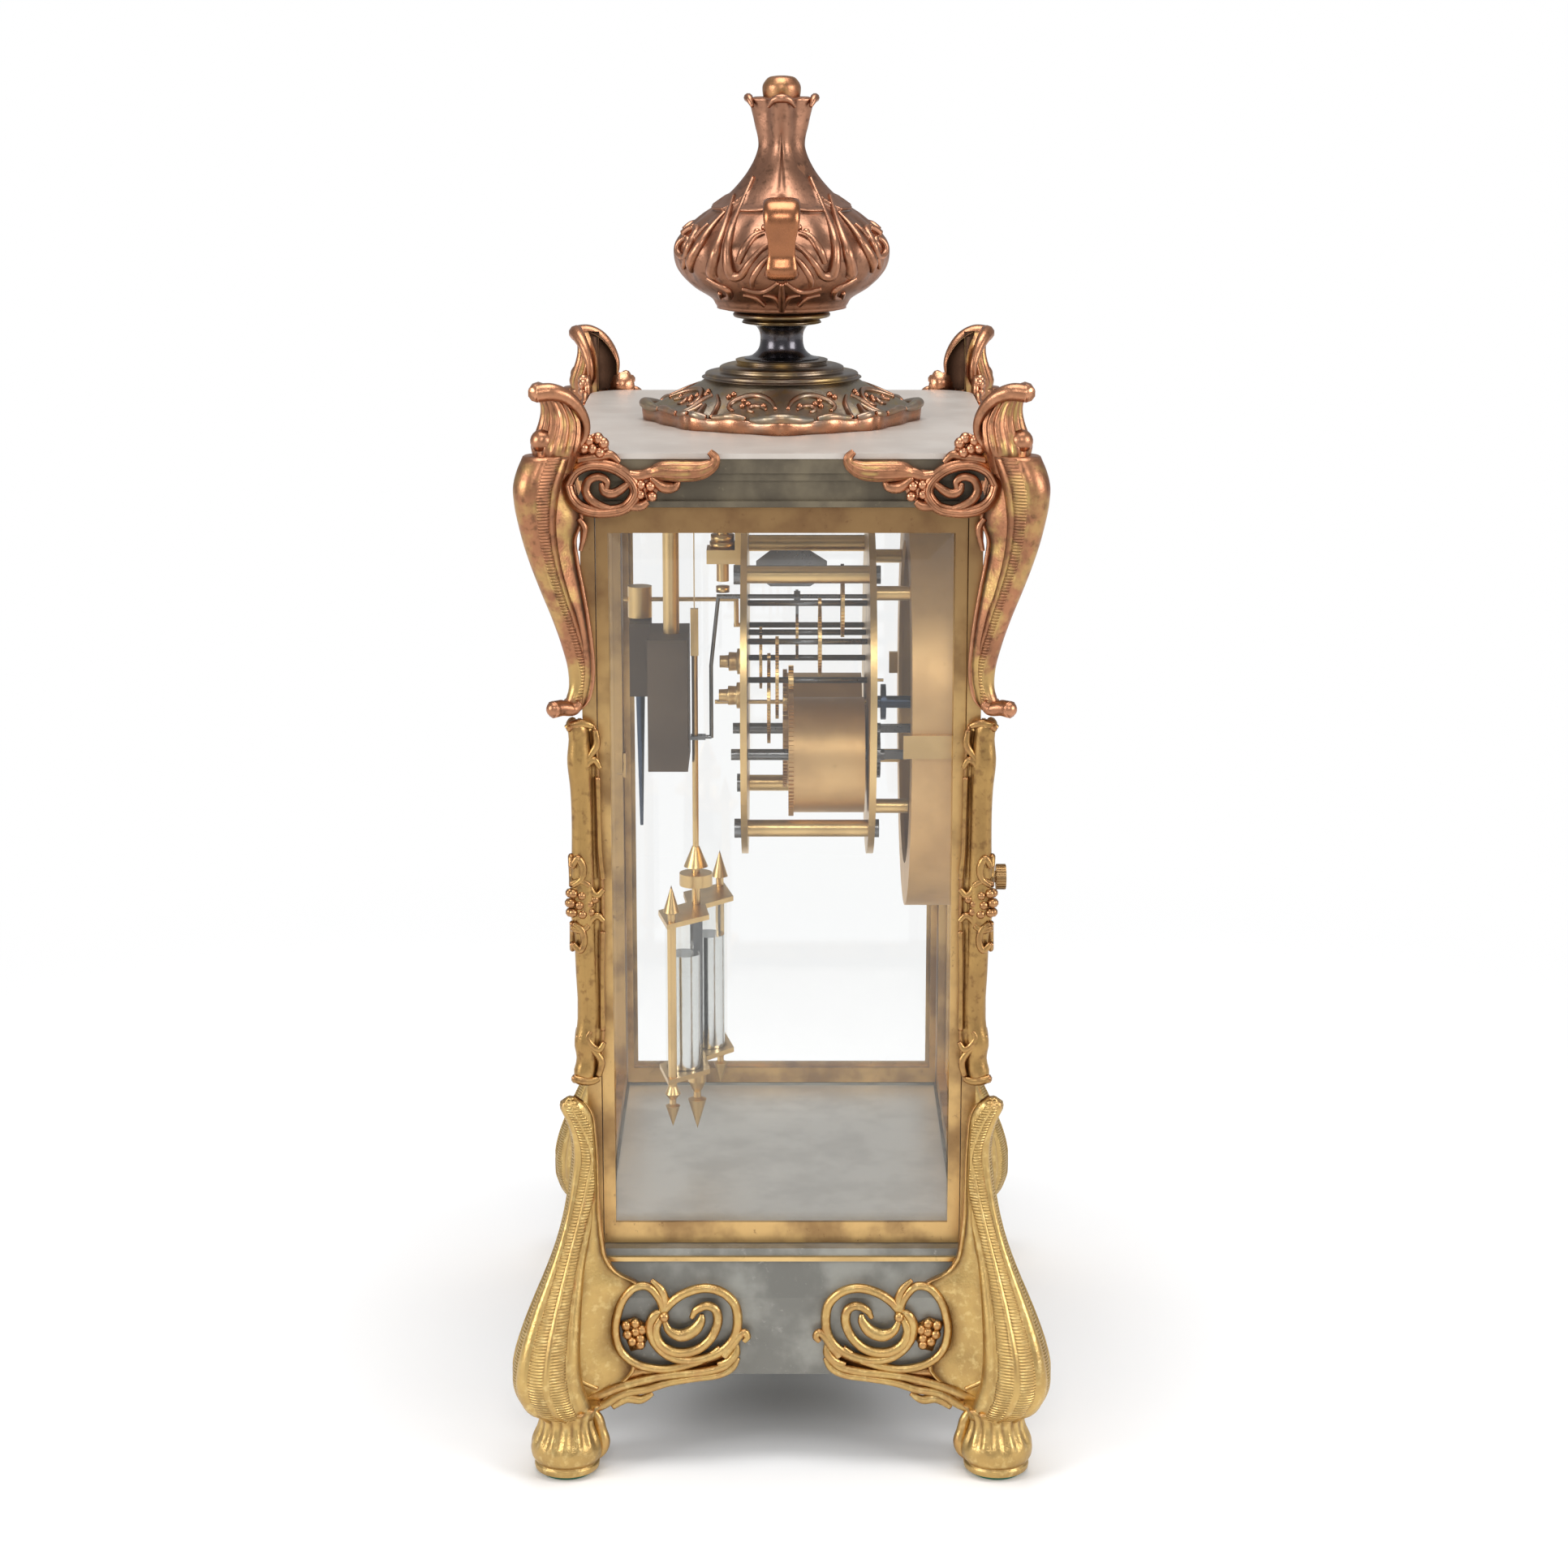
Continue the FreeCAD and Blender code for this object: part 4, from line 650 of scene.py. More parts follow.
CAD_FINISH = {
    "grey_patina": "base_plinth base_moulding",
    "black_patina": "cornice",
    "floor_patina": "base_floor",
    "case_brass": """corner_posts left_side_frame right_side_frame front_door_frame rear_door_frame
        front_door_knob rear_door_knob""",
    "top_bronze": "top_plate",
    "felt": "felt_pads",
    "gunmetal": "finial_stem",
    "case_glass": "left_side_glass right_side_glass front_door_glass rear_door_glass",
    "jar_glass": "bob_jars",
    "mercury": "mercury_fill",
    "gong_iron": "gong_block",
    "enamel": "dial_face",
    "drum_brass": "dial_drum time_barrel strike_barrel",
    "blued_steel": "gong_rod time_mainspring strike_mainspring minute_hand hour_hand",
    "steel": "pillar_screws hinge_pins time_winding_arbor strike_winding_arbor anchor fly",
    "movement_brass": """gong_post drum_clamps front_plate back_plate movement_pillars drum_posts
        suspension_cock centre_wheel third_wheel escape_wheel pin_wheel locking_wheel warning_wheel hammer
        pendulum_rod bob_frame rating_nut""",
    "gold_cast": "lower_mounts middle_mounts",
    "copper_cast": "upper_mounts finial_skirt urn_handles urn_knob",
    "urn_cast": "urn",
}


def dress_cad():
    """Gives every CAD node its own material."""
    for name, nodes in CAD_FINISH.items():
        for node in nodes.split():
            for slot in NODES[node].material_slots:
                slot.material = finish[name]


LOWER_FACES = (97.05, 69.05)  # the side and front faces that each kind of mount lies on, as x and y
MIDDLE_FACES = (91.05, 66.35)
UPPER_FACES = (92.05, 67.05)
CORNICE_FACES = (93.7, 72.3)


# ---- lower mounts --------------------------------------------------------------------------------


FOOT_CENTRE = (102.2, 74.2)


def lower_leg():
    """The ribbed leg that wraps the corner."""
    leg = Corner(*LOWER_FACES)
    leg.wrap((
        # z, inner y, panel outer y, outermost y, panel height, back height
        (19.5, 64.2, 66.4, 82.0, 1.4, 0.05),
        (21.5, 63.4, 66.8, 83.6, 2.2, 0.05),
        (24.5, 61.0, 67.2, 87.4, 3.6, 0.05),
        (29.5, 55.8, 68.6, 90.3, 4.8, 0.05),
        (36.9, 50.5, 70.6, 91.8, 5.4, 0.05),
        (43.0, 56.0, 71.2, 91.1, 5.4, 0.05),
        (50.0, 57.2, 71.0, 89.4, 5.2, 0.05),
        (56.0, 56.4, 70.4, 87.3, 5.0, 0.05),
        (61.3, 54.4, 69.8, 85.2, 4.8, 0.05),
        (66.6, 48.5, 69.0, 83.0, 4.5, 0.05),
        (70.8, 55.8, 68.4, 81.2, 4.3, 0.05),
        (76.0, 59.6, 67.6, 79.1, 4.0, -0.6),
        (82.0, 60.8, 66.6, 76.9, 3.6, -2.4),
        (90.0, 61.6, 65.2, 74.6, 3.0, -2.6),
        (101.8, 62.2, 63.8, 72.4, 2.5, -2.6),
        (112.0, 62.4, 63.9, 71.4, 2.3, -2.6),
        (121.0, 63.0, 64.2, 71.9, 2.1, -2.6),
        (126.5, 63.6, 64.8, 73.4, 1.9, -2.0),
        (130.5, 65.4, 66.4, 74.7, 1.6, -0.6),
        (133.2, 67.8, 68.5, 74.2, 1.2, 1.6),
        (134.4, 69.6, 70.1, 72.6, 1.4, 1.3),
    ), (
        (18, 20, 1.3, 0), (65, 15, 0.25, 1), (84, 6, 0.8, 0), (105, 13, 0.25, 1), (135, 15, 1.1, 0),
    ), 74)
    return leg.cast


def lower_scrolls():
    """The scrollwork, berries and apron on both faces."""
    face = Corner(*LOWER_FACES)
    left = [(40.4, 56.9), (41.9, 61.6), (45.7, 66.1), (50.5, 65.7), (54.4, 61.3), (56.4, 55.9), (57.2, 50.2),
            (56.1, 44.1), (53.0, 39.8), (47.7, 36.9), (40.6, 35.9), (33.5, 37.2), (26.3, 39.8), (21.0, 43.6)]
    right = [(40.4, 56.9), (37.3, 61.0), (32.4, 64.2), (26.2, 65.7), (20.4, 64.2), (16.2, 59.9), (15.1, 54.0),
             (16.2, 47.9), (20.1, 43.1), (26.3, 40.1), (33.5, 39.3), (39.7, 41.4), (43.9, 46.0), (45.3, 51.7),
             (43.5, 55.9), (40.4, 56.9)]
    swirl = [(41.3, 55.4), (43.3, 50.1), (41.4, 44.9), (36.0, 42.2), (29.4, 43.2), (24.5, 47.3), (22.0, 53.0),
             (22.6, 57.7), (25.7, 59.3), (29.3, 57.7), (31.0, 54.8)]
    tongue = [(40.2, 54.0), (38.6, 50.4), (34.7, 48.6), (30.4, 50.3), (27.8, 53.7), (27.4, 56.4)]
    face.cord(left, 2.5, 1.55, flat=0.95)
    face.cord(right, 2.7, [1.3] + [1.7] * 14 + [1.0], flat=0.95, count=90)
    face.cord(swirl, 2.9, [1.2, 1.7, 1.9, 1.9, 1.8, 1.7, 1.7, 1.7, 1.6, 1.4, 0.8], flat=0.95)
    face.cord(tongue, 3.2, [0.9, 1.6, 2.3, 2.3, 1.7, 0.7], flat=0.85)
    face.cord([(44.6, 68.6), (41.4, 65.2), (39.9, 60.6), (40.6, 55.6)], 2.6, [0.8, 1.4, 1.5, 1.6], flat=0.9)
    face.cast.ball(face.on_face([(40.3, 55.6)], 3.8)[0], 1.9)
    face.berries([(53.4, 52.0), (50.3, 52.7), (53.0, 48.7), (50.2, 49.7), (48.0, 50.4), (51.4, 46.1),
        (48.6, 47.3), (48.6, 44.9)], 2.4, 1.85)
    face.plate([(55.8, 52.6), (50.6, 54.2), (46.4, 51.8), (46.2, 46.2), (48.0, 43.0), (52.0, 42.0)], 0.05,
        1.5)
    apron = [(69.0, 24.4), (62.1, 26.8), (55.8, 29.4), (47.8, 31.8), (38.8, 33.8), (28.1, 34.9), (20.1, 36.8),
             (16.0, 40.6)]
    under = [(68.0, 20.6), (62.0, 22.6), (54.6, 26.9), (46.6, 28.4), (38.8, 30.9), (30.0, 32.4), (22.0, 33.6),
             (17.2, 36.2), (15.0, 40.0)]
    face.plate(apron + [(21.0, 43.0), (26.3, 39.6), (33.5, 37.2), (40.6, 35.9), (47.7, 36.9), (53.0, 39.8),
                        (60.0, 36.0)], 0.05, 2.0)
    face.plate([(68.0, 24.5)] + apron[1:] + under[:0:-1] + [(68.0, 20.6)], 0.05, 2.4)
    face.cord(apron, 2.8, [1.6, 1.7, 1.6, 1.5, 1.5, 1.5, 1.4, 1.0], flat=0.9)
    face.cord(under, 2.3, [1.8, 1.9, 1.7, 1.6, 1.5, 1.4, 1.4, 1.4, 0.9], flat=0.9)
    face.cord([(58.6, 21.6), (53.6, 24.8), (48.6, 24.3), (44.6, 26.6)], 1.8, [1.2, 1.9, 1.6, 0.9], flat=0.8)
    face.cord([(20.0, 40.8), (17.0, 44.9), (15.1, 47.8), (12.9, 49.6), (11.8, 47.9), (13.0, 46.2)], 2.8,
              [1.6, 1.7, 1.6, 1.4, 1.3, 0.9], flat=0.95)
    face.cord([(22.0, 37.6), (18.4, 38.8), (15.9, 41.8), (15.6, 45.4)], 2.6, [1.0, 1.7, 1.7, 0.9], flat=0.9)
    face.cord([(63.4, 29.0), (70.6, 33.6), (73.2, 40.0)], [3.6, 5.0, 5.6], [0.7, 0.9, 0.7])
    return face.spread()


def lower_foot():
    """The fluted bun that the clock stands on."""
    foot = Casting()
    profile = smooth_path([(0.3, 1.25), (9.8, 1.3), (11.1, 2.3), (11.2, 3.5), (10.7, 4.4), (11.9, 6.0),
        (12.4, 8.4), (12.1, 11.0), (10.8, 14.0), (9.6, 17.0), (9.2, 19.6), (10.2, 22.5), (11.0, 25.0),
        (0.3, 25.0)], 60)

    def fluted(x, y, z):
        turn = math.atan2(y, x)
        strength = 0.045 * np.clip((z - 9.5) / 4.0, 0, 1)
        swell = 1 + strength * math.cos(15 * turn + 0.12 * (z - 12))
        return x * swell, y * swell, z

    foot.turn(profile, FOOT_CENTRE, 90, fluted)
    return foot


def lower_curl():
    """The curled leaf over the foot."""
    curl = Corner(*LOWER_FACES)
    curl.cord([(66.0, 21.4), (63.6, 18.4), (62.6, 14.2), (61.7, 9.8), (63.2, 5.6), (66.4, 3.6)],
        [3.4, 3.6, 3.8, 4.4, 4.0, 2.4], [1.4, 1.9, 2.1, 2.4, 2.0, 1.2])
    return curl.spread()


def make_lower_mounts():
    """The gilt feet: a ribbed leg round each corner, with scrollwork on both faces."""
    whole = Casting()
    for part in (lower_leg(), lower_scrolls(), lower_foot(), lower_curl()):
        whole.join(part)
    every_corner(whole).piece("lower_mount_castings", finish["gold_cast"], "case", "lower_mounts",
        "aged_gilt")


# ---- upper mounts --------------------------------------------------------------------------------


def upper_leg():
    """The ribbed leg that hangs down the corner."""
    leg = Corner(*UPPER_FACES)
    leg.wrap((
        (266.6, 66.2, 67.2, 70.6, 1.8, 0.1),
        (269.5, 63.6, 66.0, 71.2, 2.4, 0.1),
        (273.4, 62.2, 65.4, 70.2, 2.6, 0.1),
        (280.0, 61.4, 64.8, 70.3, 2.8, 0.1),
        (288.0, 61.8, 65.4, 72.0, 3.2, 0.1),
        (297.9, 63.0, 67.4, 74.9, 4.2, 0.1),
        (307.7, 64.6, 70.2, 78.3, 5.6, 0.1),
        (316.6, 66.2, 72.8, 81.2, 6.8, 0.1),
        (323.7, 66.8, 74.4, 83.2, 7.4, 0.1),
        (330.0, 64.6, 75.2, 84.6, 7.6, 0.1),
        (337.0, 66.0, 74.8, 85.8, 7.4, 0.1),
        (343.0, 67.2, 73.4, 86.0, 7.0, 0.6),
        (347.5, 66.4, 71.4, 84.9, 6.4, 2.6),
        (352.0, 65.0, 69.0, 83.0, 6.0, 3.0),
    ), (
        (10, 26, 0.9, 0), (62, 20, 0.15, 1), (135, 46, 0.9, 0),
    ), 70)
    return leg.cast


def upper_head():
    """The fluted hood above the cornice."""
    head = Corner(*UPPER_FACES)
    head.wrap((
        (346.0, 66.5, 68.0, 80.0, 5.0, 3.0),
        (351.0, 64.0, 66.4, 80.4, 5.0, 3.0),
        (355.0, 62.6, 65.0, 80.6, 5.0, 2.6),
        (359.0, 62.2, 64.4, 79.2, 5.0, 2.6),
        (362.5, 62.4, 64.6, 78.0, 5.0, 2.6),
        (366.0, 64.0, 66.2, 77.4, 5.4, 3.2),
        (369.0, 66.2, 68.2, 77.6, 6.0, 4.2),
        (371.5, 69.0, 70.6, 78.0, 6.6, 5.4),
        (373.4, 72.4, 73.4, 77.4, 7.0, 6.4),
    ), (), 40, (16, 0.42, 352.0, 372.0), 0.3)
    return head.cast


def upper_lips():
    """The rolled edges of the hood and of the leg."""
    lip = Corner(*UPPER_FACES)
    lip.cord([(78.2, 372.2), (73.8, 372.6), (69.2, 371.0), (65.4, 367.2), (63.2, 362.2), (63.6, 357.6),
              (66.4, 353.4)], [11.2, 11.0, 9.4, 7.2, 5.6, 5.2, 5.2], [3.0, 2.9, 2.4, 1.9, 1.5, 1.3, 0.8])
    lip.cord([(76.0, 344.0), (72.4, 344.6), (69.8, 347.6), (69.6, 351.2), (72.0, 354.4)],
        [9.6, 8.8, 7.6, 7.2, 8.4], [0.9, 1.6, 1.6, 1.4, 0.9])
    lip.cord([(66.3, 269.6), (68.6, 267.6), (72.2, 268.2), (75.2, 268.2)], [3.6, 4.0, 5.6, 8.0],
             [1.2, 2.2, 2.7, 2.9])
    lip.cord([(66.0, 330.6), (64.2, 327.0), (65.6, 320.0)], 2.6, [1.1, 1.2, 0.7])
    return lip.spread()


def upper_knobs():
    """The bud under the hood and the ball that ends the leg."""
    knob = Casting()
    knob.ball((UPPER_FACES[0] + 10.0, UPPER_FACES[1] + 10.0, 356.8), 3.8, rows=12, sides=18)
    knob.ball((UPPER_FACES[0] + 7.6, UPPER_FACES[1] + 7.6, 268.3), 2.7, rows=10, sides=14)
    return knob


def upper_branch():
    """The ring, coil, leaves and berries that run along the cornice."""
    branch = Corner(*CORNICE_FACES)
    ring = [(69.7, 341.8), (67.0, 346.2), (61.8, 348.4), (55.7, 347.8), (50.9, 345.3), (47.9, 341.8),
        (47.7, 338.1), (51.0, 334.3), (55.9, 333.1), (61.1, 333.1), (65.4, 334.5), (68.4, 337.6),
        (69.7, 341.8)]
    branch.cord(ring, 1.7, 2.1, flat=0.8, closed=True, count=80)
    branch.cord(ring, 3.2, 0.9, closed=True, count=80)
    branch.cord([(50.4, 334.4), (54.0, 333.6), (58.2, 334.6), (62.0, 337.0), (63.6, 340.2), (62.3, 343.4),
        (59.1, 344.4), (56.6, 342.9), (57.0, 340.2)], 1.9, [0.8, 1.3, 1.5, 1.6, 1.6, 1.5, 1.4, 1.2, 0.9],
        flat=0.9)
    branch.cord([(58.6, 342.4), (57.6, 339.7), (54.6, 339.0), (51.2, 341.0), (49.4, 342.6)], 1.9,
                [0.8, 1.5, 1.7, 1.4, 1.0], flat=0.9)
    branch.cord([(49.4, 345.0), (46.0, 344.6), (42.6, 345.6), (38.6, 346.5)], 1.6, [1.6, 1.7, 1.9, 1.4],
        flat=0.9)
    branch.plate([(50.0, 346.4), (41.4, 346.6), (38.0, 344.0), (41.0, 338.2), (44.4, 335.6), (50.0, 335.2),
                  (48.2, 340.0)], 0.0, 1.4)
    branch.berries([(45.9, 338.7), (42.6, 341.3), (42.0, 338.0), (45.7, 341.8)], 2.0, 1.75)
    branch.cord([(48.9, 334.6), (45.8, 334.9), (43.4, 336.2)], 1.6, [1.4, 1.7, 1.0], flat=0.9)
    branch.cord([(42.4, 344.2), (38.4, 341.2), (34.9, 341.2), (33.4, 343.0)], 1.6, [1.2, 2.1, 1.8, 0.9],
        flat=0.9)
    branch.cord([(43.0, 345.2), (38.6, 346.2), (31.4, 346.1), (26.2, 346.4), (22.5, 348.2), (21.6, 350.6),
        (23.4, 352.6)], [1.6, 2.0, 2.2, 2.0, 1.8, 1.8, 1.8], [1.6, 3.0, 3.3, 2.9, 2.1, 1.5, 1.0], flat=0.75,
        sides=28, flutes=9, depth=0.09)
    branch.plate([(66.0, 350.0), (64.0, 357.0), (60.0, 358.6), (56.6, 356.6), (55.6, 351.4), (58.0, 348.6)],
        0.0, 1.6)
    branch.cord([(66.2, 349.8), (60.0, 350.8), (55.4, 351.4), (52.6, 349.0)], 1.4, [1.6, 1.9, 1.5, 0.9],
        flat=0.9)
    branch.berries([(62.3, 356.3), (59.3, 357.0), (61.3, 353.6), (58.9, 352.4), (57.6, 355.4),
        (64.0, 353.8)], 2.4, 1.95)
    return branch.spread()


def make_upper_mounts():
    """The copper mounts: a leg and a hooded head, with a branch along each cornice."""
    whole = Casting()
    for part in (upper_leg(), upper_head(), upper_lips(), upper_knobs(), upper_branch()):
        whole.join(part)
    every_corner(whole).piece("upper_mount_castings", finish["copper_cast"], "case", "upper_mounts",
        "copper_bronze")


# ---- middle mounts -------------------------------------------------------------------------------


def make_middle_mounts():
    """The narrow straps between them, with leaves at the ends and berries halfway."""
    whole = Corner(*MIDDLE_FACES)
    whole.wrap((
        (137.4, 62.6, 64.2, 69.4, 1.4, 0.05),
        (139.2, 61.9, 63.6, 70.4, 2.0, 0.05),
        (145.6, 60.8, 63.0, 69.6, 2.1, 0.05),
        (151.4, 60.2, 62.8, 70.3, 2.1, 0.05),
        (156.0, 59.8, 62.6, 69.5, 2.0, 0.05),
        (177.0, 59.7, 62.6, 69.5, 2.0, 0.05),
        (191.0, 59.5, 62.6, 70.1, 2.0, 0.05),
        (200.0, 59.4, 62.4, 71.2, 2.2, 0.05),
        (210.0, 59.6, 62.6, 70.5, 2.2, 0.05),
        (219.0, 60.1, 62.8, 70.2, 2.0, 0.05),
        (240.0, 60.4, 63.0, 70.4, 2.0, 0.05),
        (249.6, 60.8, 63.2, 71.2, 2.1, 0.05),
        (257.9, 61.2, 63.8, 70.6, 2.0, 0.05),
        (261.6, 62.2, 64.4, 71.0, 1.8, 0.05),
        (263.0, 64.0, 65.6, 70.2, 1.4, 0.05),
    ), ((15, 18, 0.35, 0), (135, 34, 0.55, 0)), 60)
    leaf = Corner(*MIDDLE_FACES)
    for path, height, radius in (([(61.9, 139.0), (64.4, 138.2), (67.8, 138.6), (70.2, 139.4)],
            [2.4, 3.0, 3.8, 3.6], [1.0, 1.4, 1.6, 1.3]), ([(62.0, 140.0), (61.0, 144.8), (63.0, 148.4),
        (66.0, 151.2), (68.2, 154.2)], 2.6, [1.0, 1.3, 1.2, 1.2, 0.8]),
        ([(60.0, 152.0), (61.6, 149.4), (63.8, 150.4), (65.6, 153.2), (64.6, 155.8)], 2.7,
        [0.8, 1.2, 1.3, 1.3, 0.8]), ([(62.4, 261.2), (65.4, 262.2), (68.8, 262.0), (71.0, 260.6)],
        [2.4, 3.0, 3.6, 3.6], [1.0, 1.5, 1.6, 1.3]), ([(61.6, 260.0), (61.2, 255.2), (63.2, 251.6),
        (65.8, 248.6), (68.4, 246.6)], 2.6, [1.0, 1.3, 1.2, 1.2, 0.8]),
        ([(60.2, 247.0), (61.8, 249.8), (64.0, 249.0), (66.0, 246.4), (69.4, 247.6)], 2.7,
        [0.8, 1.2, 1.3, 1.3, 0.9]), ([(61.0, 244.0), (60.8, 230.0), (60.6, 218.0), (59.8, 208.8)], 2.4,
        [0.9, 0.7, 0.8, 0.9]), ([(60.0, 190.8), (60.2, 182.0), (60.4, 170.0), (60.4, 156.0)], 2.4,
        [0.9, 0.8, 0.7, 0.9]), ([(59.6, 205.6), (61.6, 203.4), (63.4, 204.6), (64.2, 207.4)], 2.8,
        [0.9, 1.2, 1.2, 0.7]), ([(59.6, 194.4), (61.6, 196.4), (63.6, 195.2), (64.8, 192.4)], 2.8,
        [0.9, 1.2, 1.2, 0.7]), ([(70.0, 213.4), (68.0, 216.4), (66.2, 213.4), (66.8, 209.4), (69.8, 207.0)],
        4.0, [1.0, 1.3, 1.3, 1.1, 0.9]), ([(70.0, 187.0), (67.6, 184.6), (66.2, 187.8), (67.0, 191.8),
        (69.8, 194.0)], 4.0, [0.9, 1.2, 1.2, 1.1, 0.9]),
        ([(64.6, 193.2), (67.4, 191.4), (70.6, 192.6)], 3.6, [1.0, 1.3, 1.0]),
        ([(64.2, 207.0), (67.0, 208.6), (70.4, 207.6)], 3.6, [1.0, 1.3, 1.0])):
        leaf.cord(path, height, radius, flat=0.85)
    leaf.berries([(64.4, 200.6), (66.8, 203.6), (69.6, 204.4), (70.4, 201.2), (67.6, 200.4), (69.8, 197.8),
        (66.6, 197.2), (64.0, 197.8), (62.6, 202.0)], [3.0, 4.0, 4.4, 4.6, 4.4, 4.4, 4.0, 2.9, 2.4], 1.65)
    whole.cast.join(leaf.spread())
    every_corner(whole.cast).piece("middle_mount_castings", finish["brown_gold_cast"], "case",
        "middle_mounts", "aged_gilt")


# ---- finial --------------------------------------------------------------------------------------

URN_HEIGHTS = (389.8, 390.4, 391.6, 394.0, 398.0, 404.0, 409.0, 413.0, 418.0, 423.0, 429.6, 434.0, 438.0,
    446.0, 454.0, 460.0, 462.6)
URN_RADII = (15.0, 21.0, 22.6, 24.2, 30.4, 35.6, 37.0, 36.6, 33.0, 27.2, 17.6, 13.6, 10.9, 8.2, 9.4, 10.8,
    11.4)


def urn_point(turn, z, lift=0.0):
    """The point of the urn's skin at an angle from the -X axis, pushed out by lift."""
    fourth = math.cos(4 * turn)
    radius = float(along(URN_RADII, URN_HEIGHTS, z))
    neck = float(np.clip((z - 424.0) / 34.0, 0, 1))
    radius *= 1 - (0.04 + 0.26 * neck ** 1.4) * (1 - fourth) / 2 * float(np.clip((z - 420) / 8, 0, 1))
    near = (turn + math.pi / 4) % (math.pi / 2) - math.pi / 4
    edge = 424.6 + 3.6 * math.exp(-(near / 0.16) ** 2) + 5.0 * float(np.clip((abs(near) - 0.62) / 0.16, 0, 1))
    step = float(np.clip((z - edge) / 1.0, 0, 1))
    radius += 1.5 * step * float(np.clip((446 - z) / 16, 0, 1))
    radius += 0.9 * math.exp(-((z - edge - 1.1) / 0.9) ** 2)
    groove = math.exp(-(near / (0.05 + 0.07 * np.clip((440 - z) / 14, 0, 1))) ** 2)
    radius -= 1.0 * groove * float(np.clip((z - edge) / 3, 0, 1) * np.clip((452 - z) / 8, 0, 1))
    body = float(np.clip((z - 398) / 6, 0, 1) * np.clip((edge - z) / 5, 0, 1))
    radius += 0.55 * body * math.cos(20 * turn)
    radius += lift
    return (-radius * math.cos(turn), radius * math.sin(turn), z)


def make_urn():
    """The urn's body with its ornament."""
    urn = Casting()
    heights = np.concatenate([np.linspace(389.8, 420, 60), np.linspace(420.4, 432, 44),
        np.linspace(432.8, 462.2, 50)])
    turns = np.linspace(0, 2 * math.pi, 240, endpoint=False)
    rings = [[urn_point(a, z) for a in turns] for z in heights]
    rings.append([(0.82 * x, 0.82 * y, 462.9) for x, y, _ in rings[-1]])
    rings.append([(0.62 * x, 0.62 * y, 461.6) for x, y, _ in rings[-2]])
    urn.loft(rings)

    def on_urn(path, radius, lift=0.1, **options):
        """A raised cord on both halves of both handled faces; the path is (y, z)."""
        for face in (1, -1):
            for side in (1, -1):
                line = []
                for y, z in path:
                    reach = float(along(URN_RADII, URN_HEIGHTS, z))
                    x, y, z = urn_point(math.asin(min(0.999, y / reach)), z, lift)
                    line.append((face * x, side * y, z))
                urn.tube(line, radius, up=(face, 0, 0.2), **options)

    on_urn([(9.8, 436.0), (14.3, 427.0), (17.5, 417.6), (18.4, 409.4), (17.0, 404.4), (13.8, 404.4),
        (11.1, 408.2), (7.3, 412.7), (3.2, 415.4)], [0.7, 1.0, 1.5, 1.9, 2.1, 1.6, 1.2, 1.0, 0.7])
    on_urn([(6.0, 418.6), (9.4, 417.2), (12.8, 412.6), (14.6, 408.6)], [0.9, 1.3, 1.5, 1.1])
    on_urn([(4.0, 411.0), (7.0, 408.0), (9.6, 403.6), (9.8, 400.4)], [0.8, 1.1, 1.2, 0.8])
    on_urn([(15.6, 430.0), (19.2, 420.5), (21.9, 412.1), (23.6, 405.6), (22.4, 403.0)],
        [0.7, 1.2, 1.9, 2.3, 1.5])
    on_urn([(19.6, 424.6), (23.6, 419.9), (27.4, 414.4), (30.4, 408.6), (30.8, 404.8)],
        [0.7, 1.1, 1.6, 2.0, 1.2])
    on_urn([(24.8, 420.6), (29.0, 416.4), (32.6, 410.4), (33.6, 405.6)], [0.7, 1.1, 1.4, 1.0])
    on_urn([(25.6, 402.6), (22.4, 401.0), (18.4, 399.0), (17.8, 396.4), (20.3, 395.6), (21.2, 397.6)],
           [0.8, 1.1, 1.3, 1.3, 1.1, 0.8])
    on_urn([(1.2, 402.0), (5.2, 399.0), (9.0, 398.6), (13.4, 399.6)], [0.7, 1.0, 1.0, 0.7])
    on_urn([(0.4, 392.6), (2.4, 396.4), (6.2, 397.4)], [1.0, 1.0, 0.6])
    on_urn([(6.0, 393.4), (9.2, 396.4), (13.0, 397.2)], [0.9, 0.9, 0.6])
    on_urn([(0.1, 391.8), (0.1, 397.0), (0.1, 401.6)], [1.1, 1.2, 0.7])
    for face in (1, -1):
        for side in (1, -1):
            coil = []
            for t in np.linspace(0, 1, 22):
                angle, r = 0.6 + 9.2 * t, 5.6 * (1 - t) ** 0.8 + 0.5
                x, y, z = urn_point(math.radians(66) + r * math.cos(angle) / 36.0,
                    413.4 + r * math.sin(angle), 0.7)
                coil.append((face * x, side * y, z))
            urn.tube(coil, list(np.linspace(1.5, 0.9, 22)), up=(face, side, 0), count=70)
            for y, z in ((6.4, 420.2), (8.6, 418.8), (4.4, 404.8)):
                x, y, z = urn_point(math.asin(y / 34.0), z, 0.4)
                urn.ball((face * x, side * y, z), 1.3, rows=6, sides=9)
    for turn in (0, 90, 180, 270):
        cos, sin = math.cos(math.radians(turn)), math.sin(math.radians(turn))
        lip = [(-10.0, -4.6, 459.6), (-11.0, -2.6, 461.9), (-11.5, 0.0, 462.5), (-11.0, 2.6, 461.9),
            (-10.0, 4.6, 459.6)]
        urn.tube([(x * cos - y * sin, x * sin + y * cos, z) for x, y, z in lip], [0.6, 1.3, 1.6, 1.3, 0.6])
    urn.piece("urn_casting", finish["urn_cast"], "case", "urn", "copper_bronze")


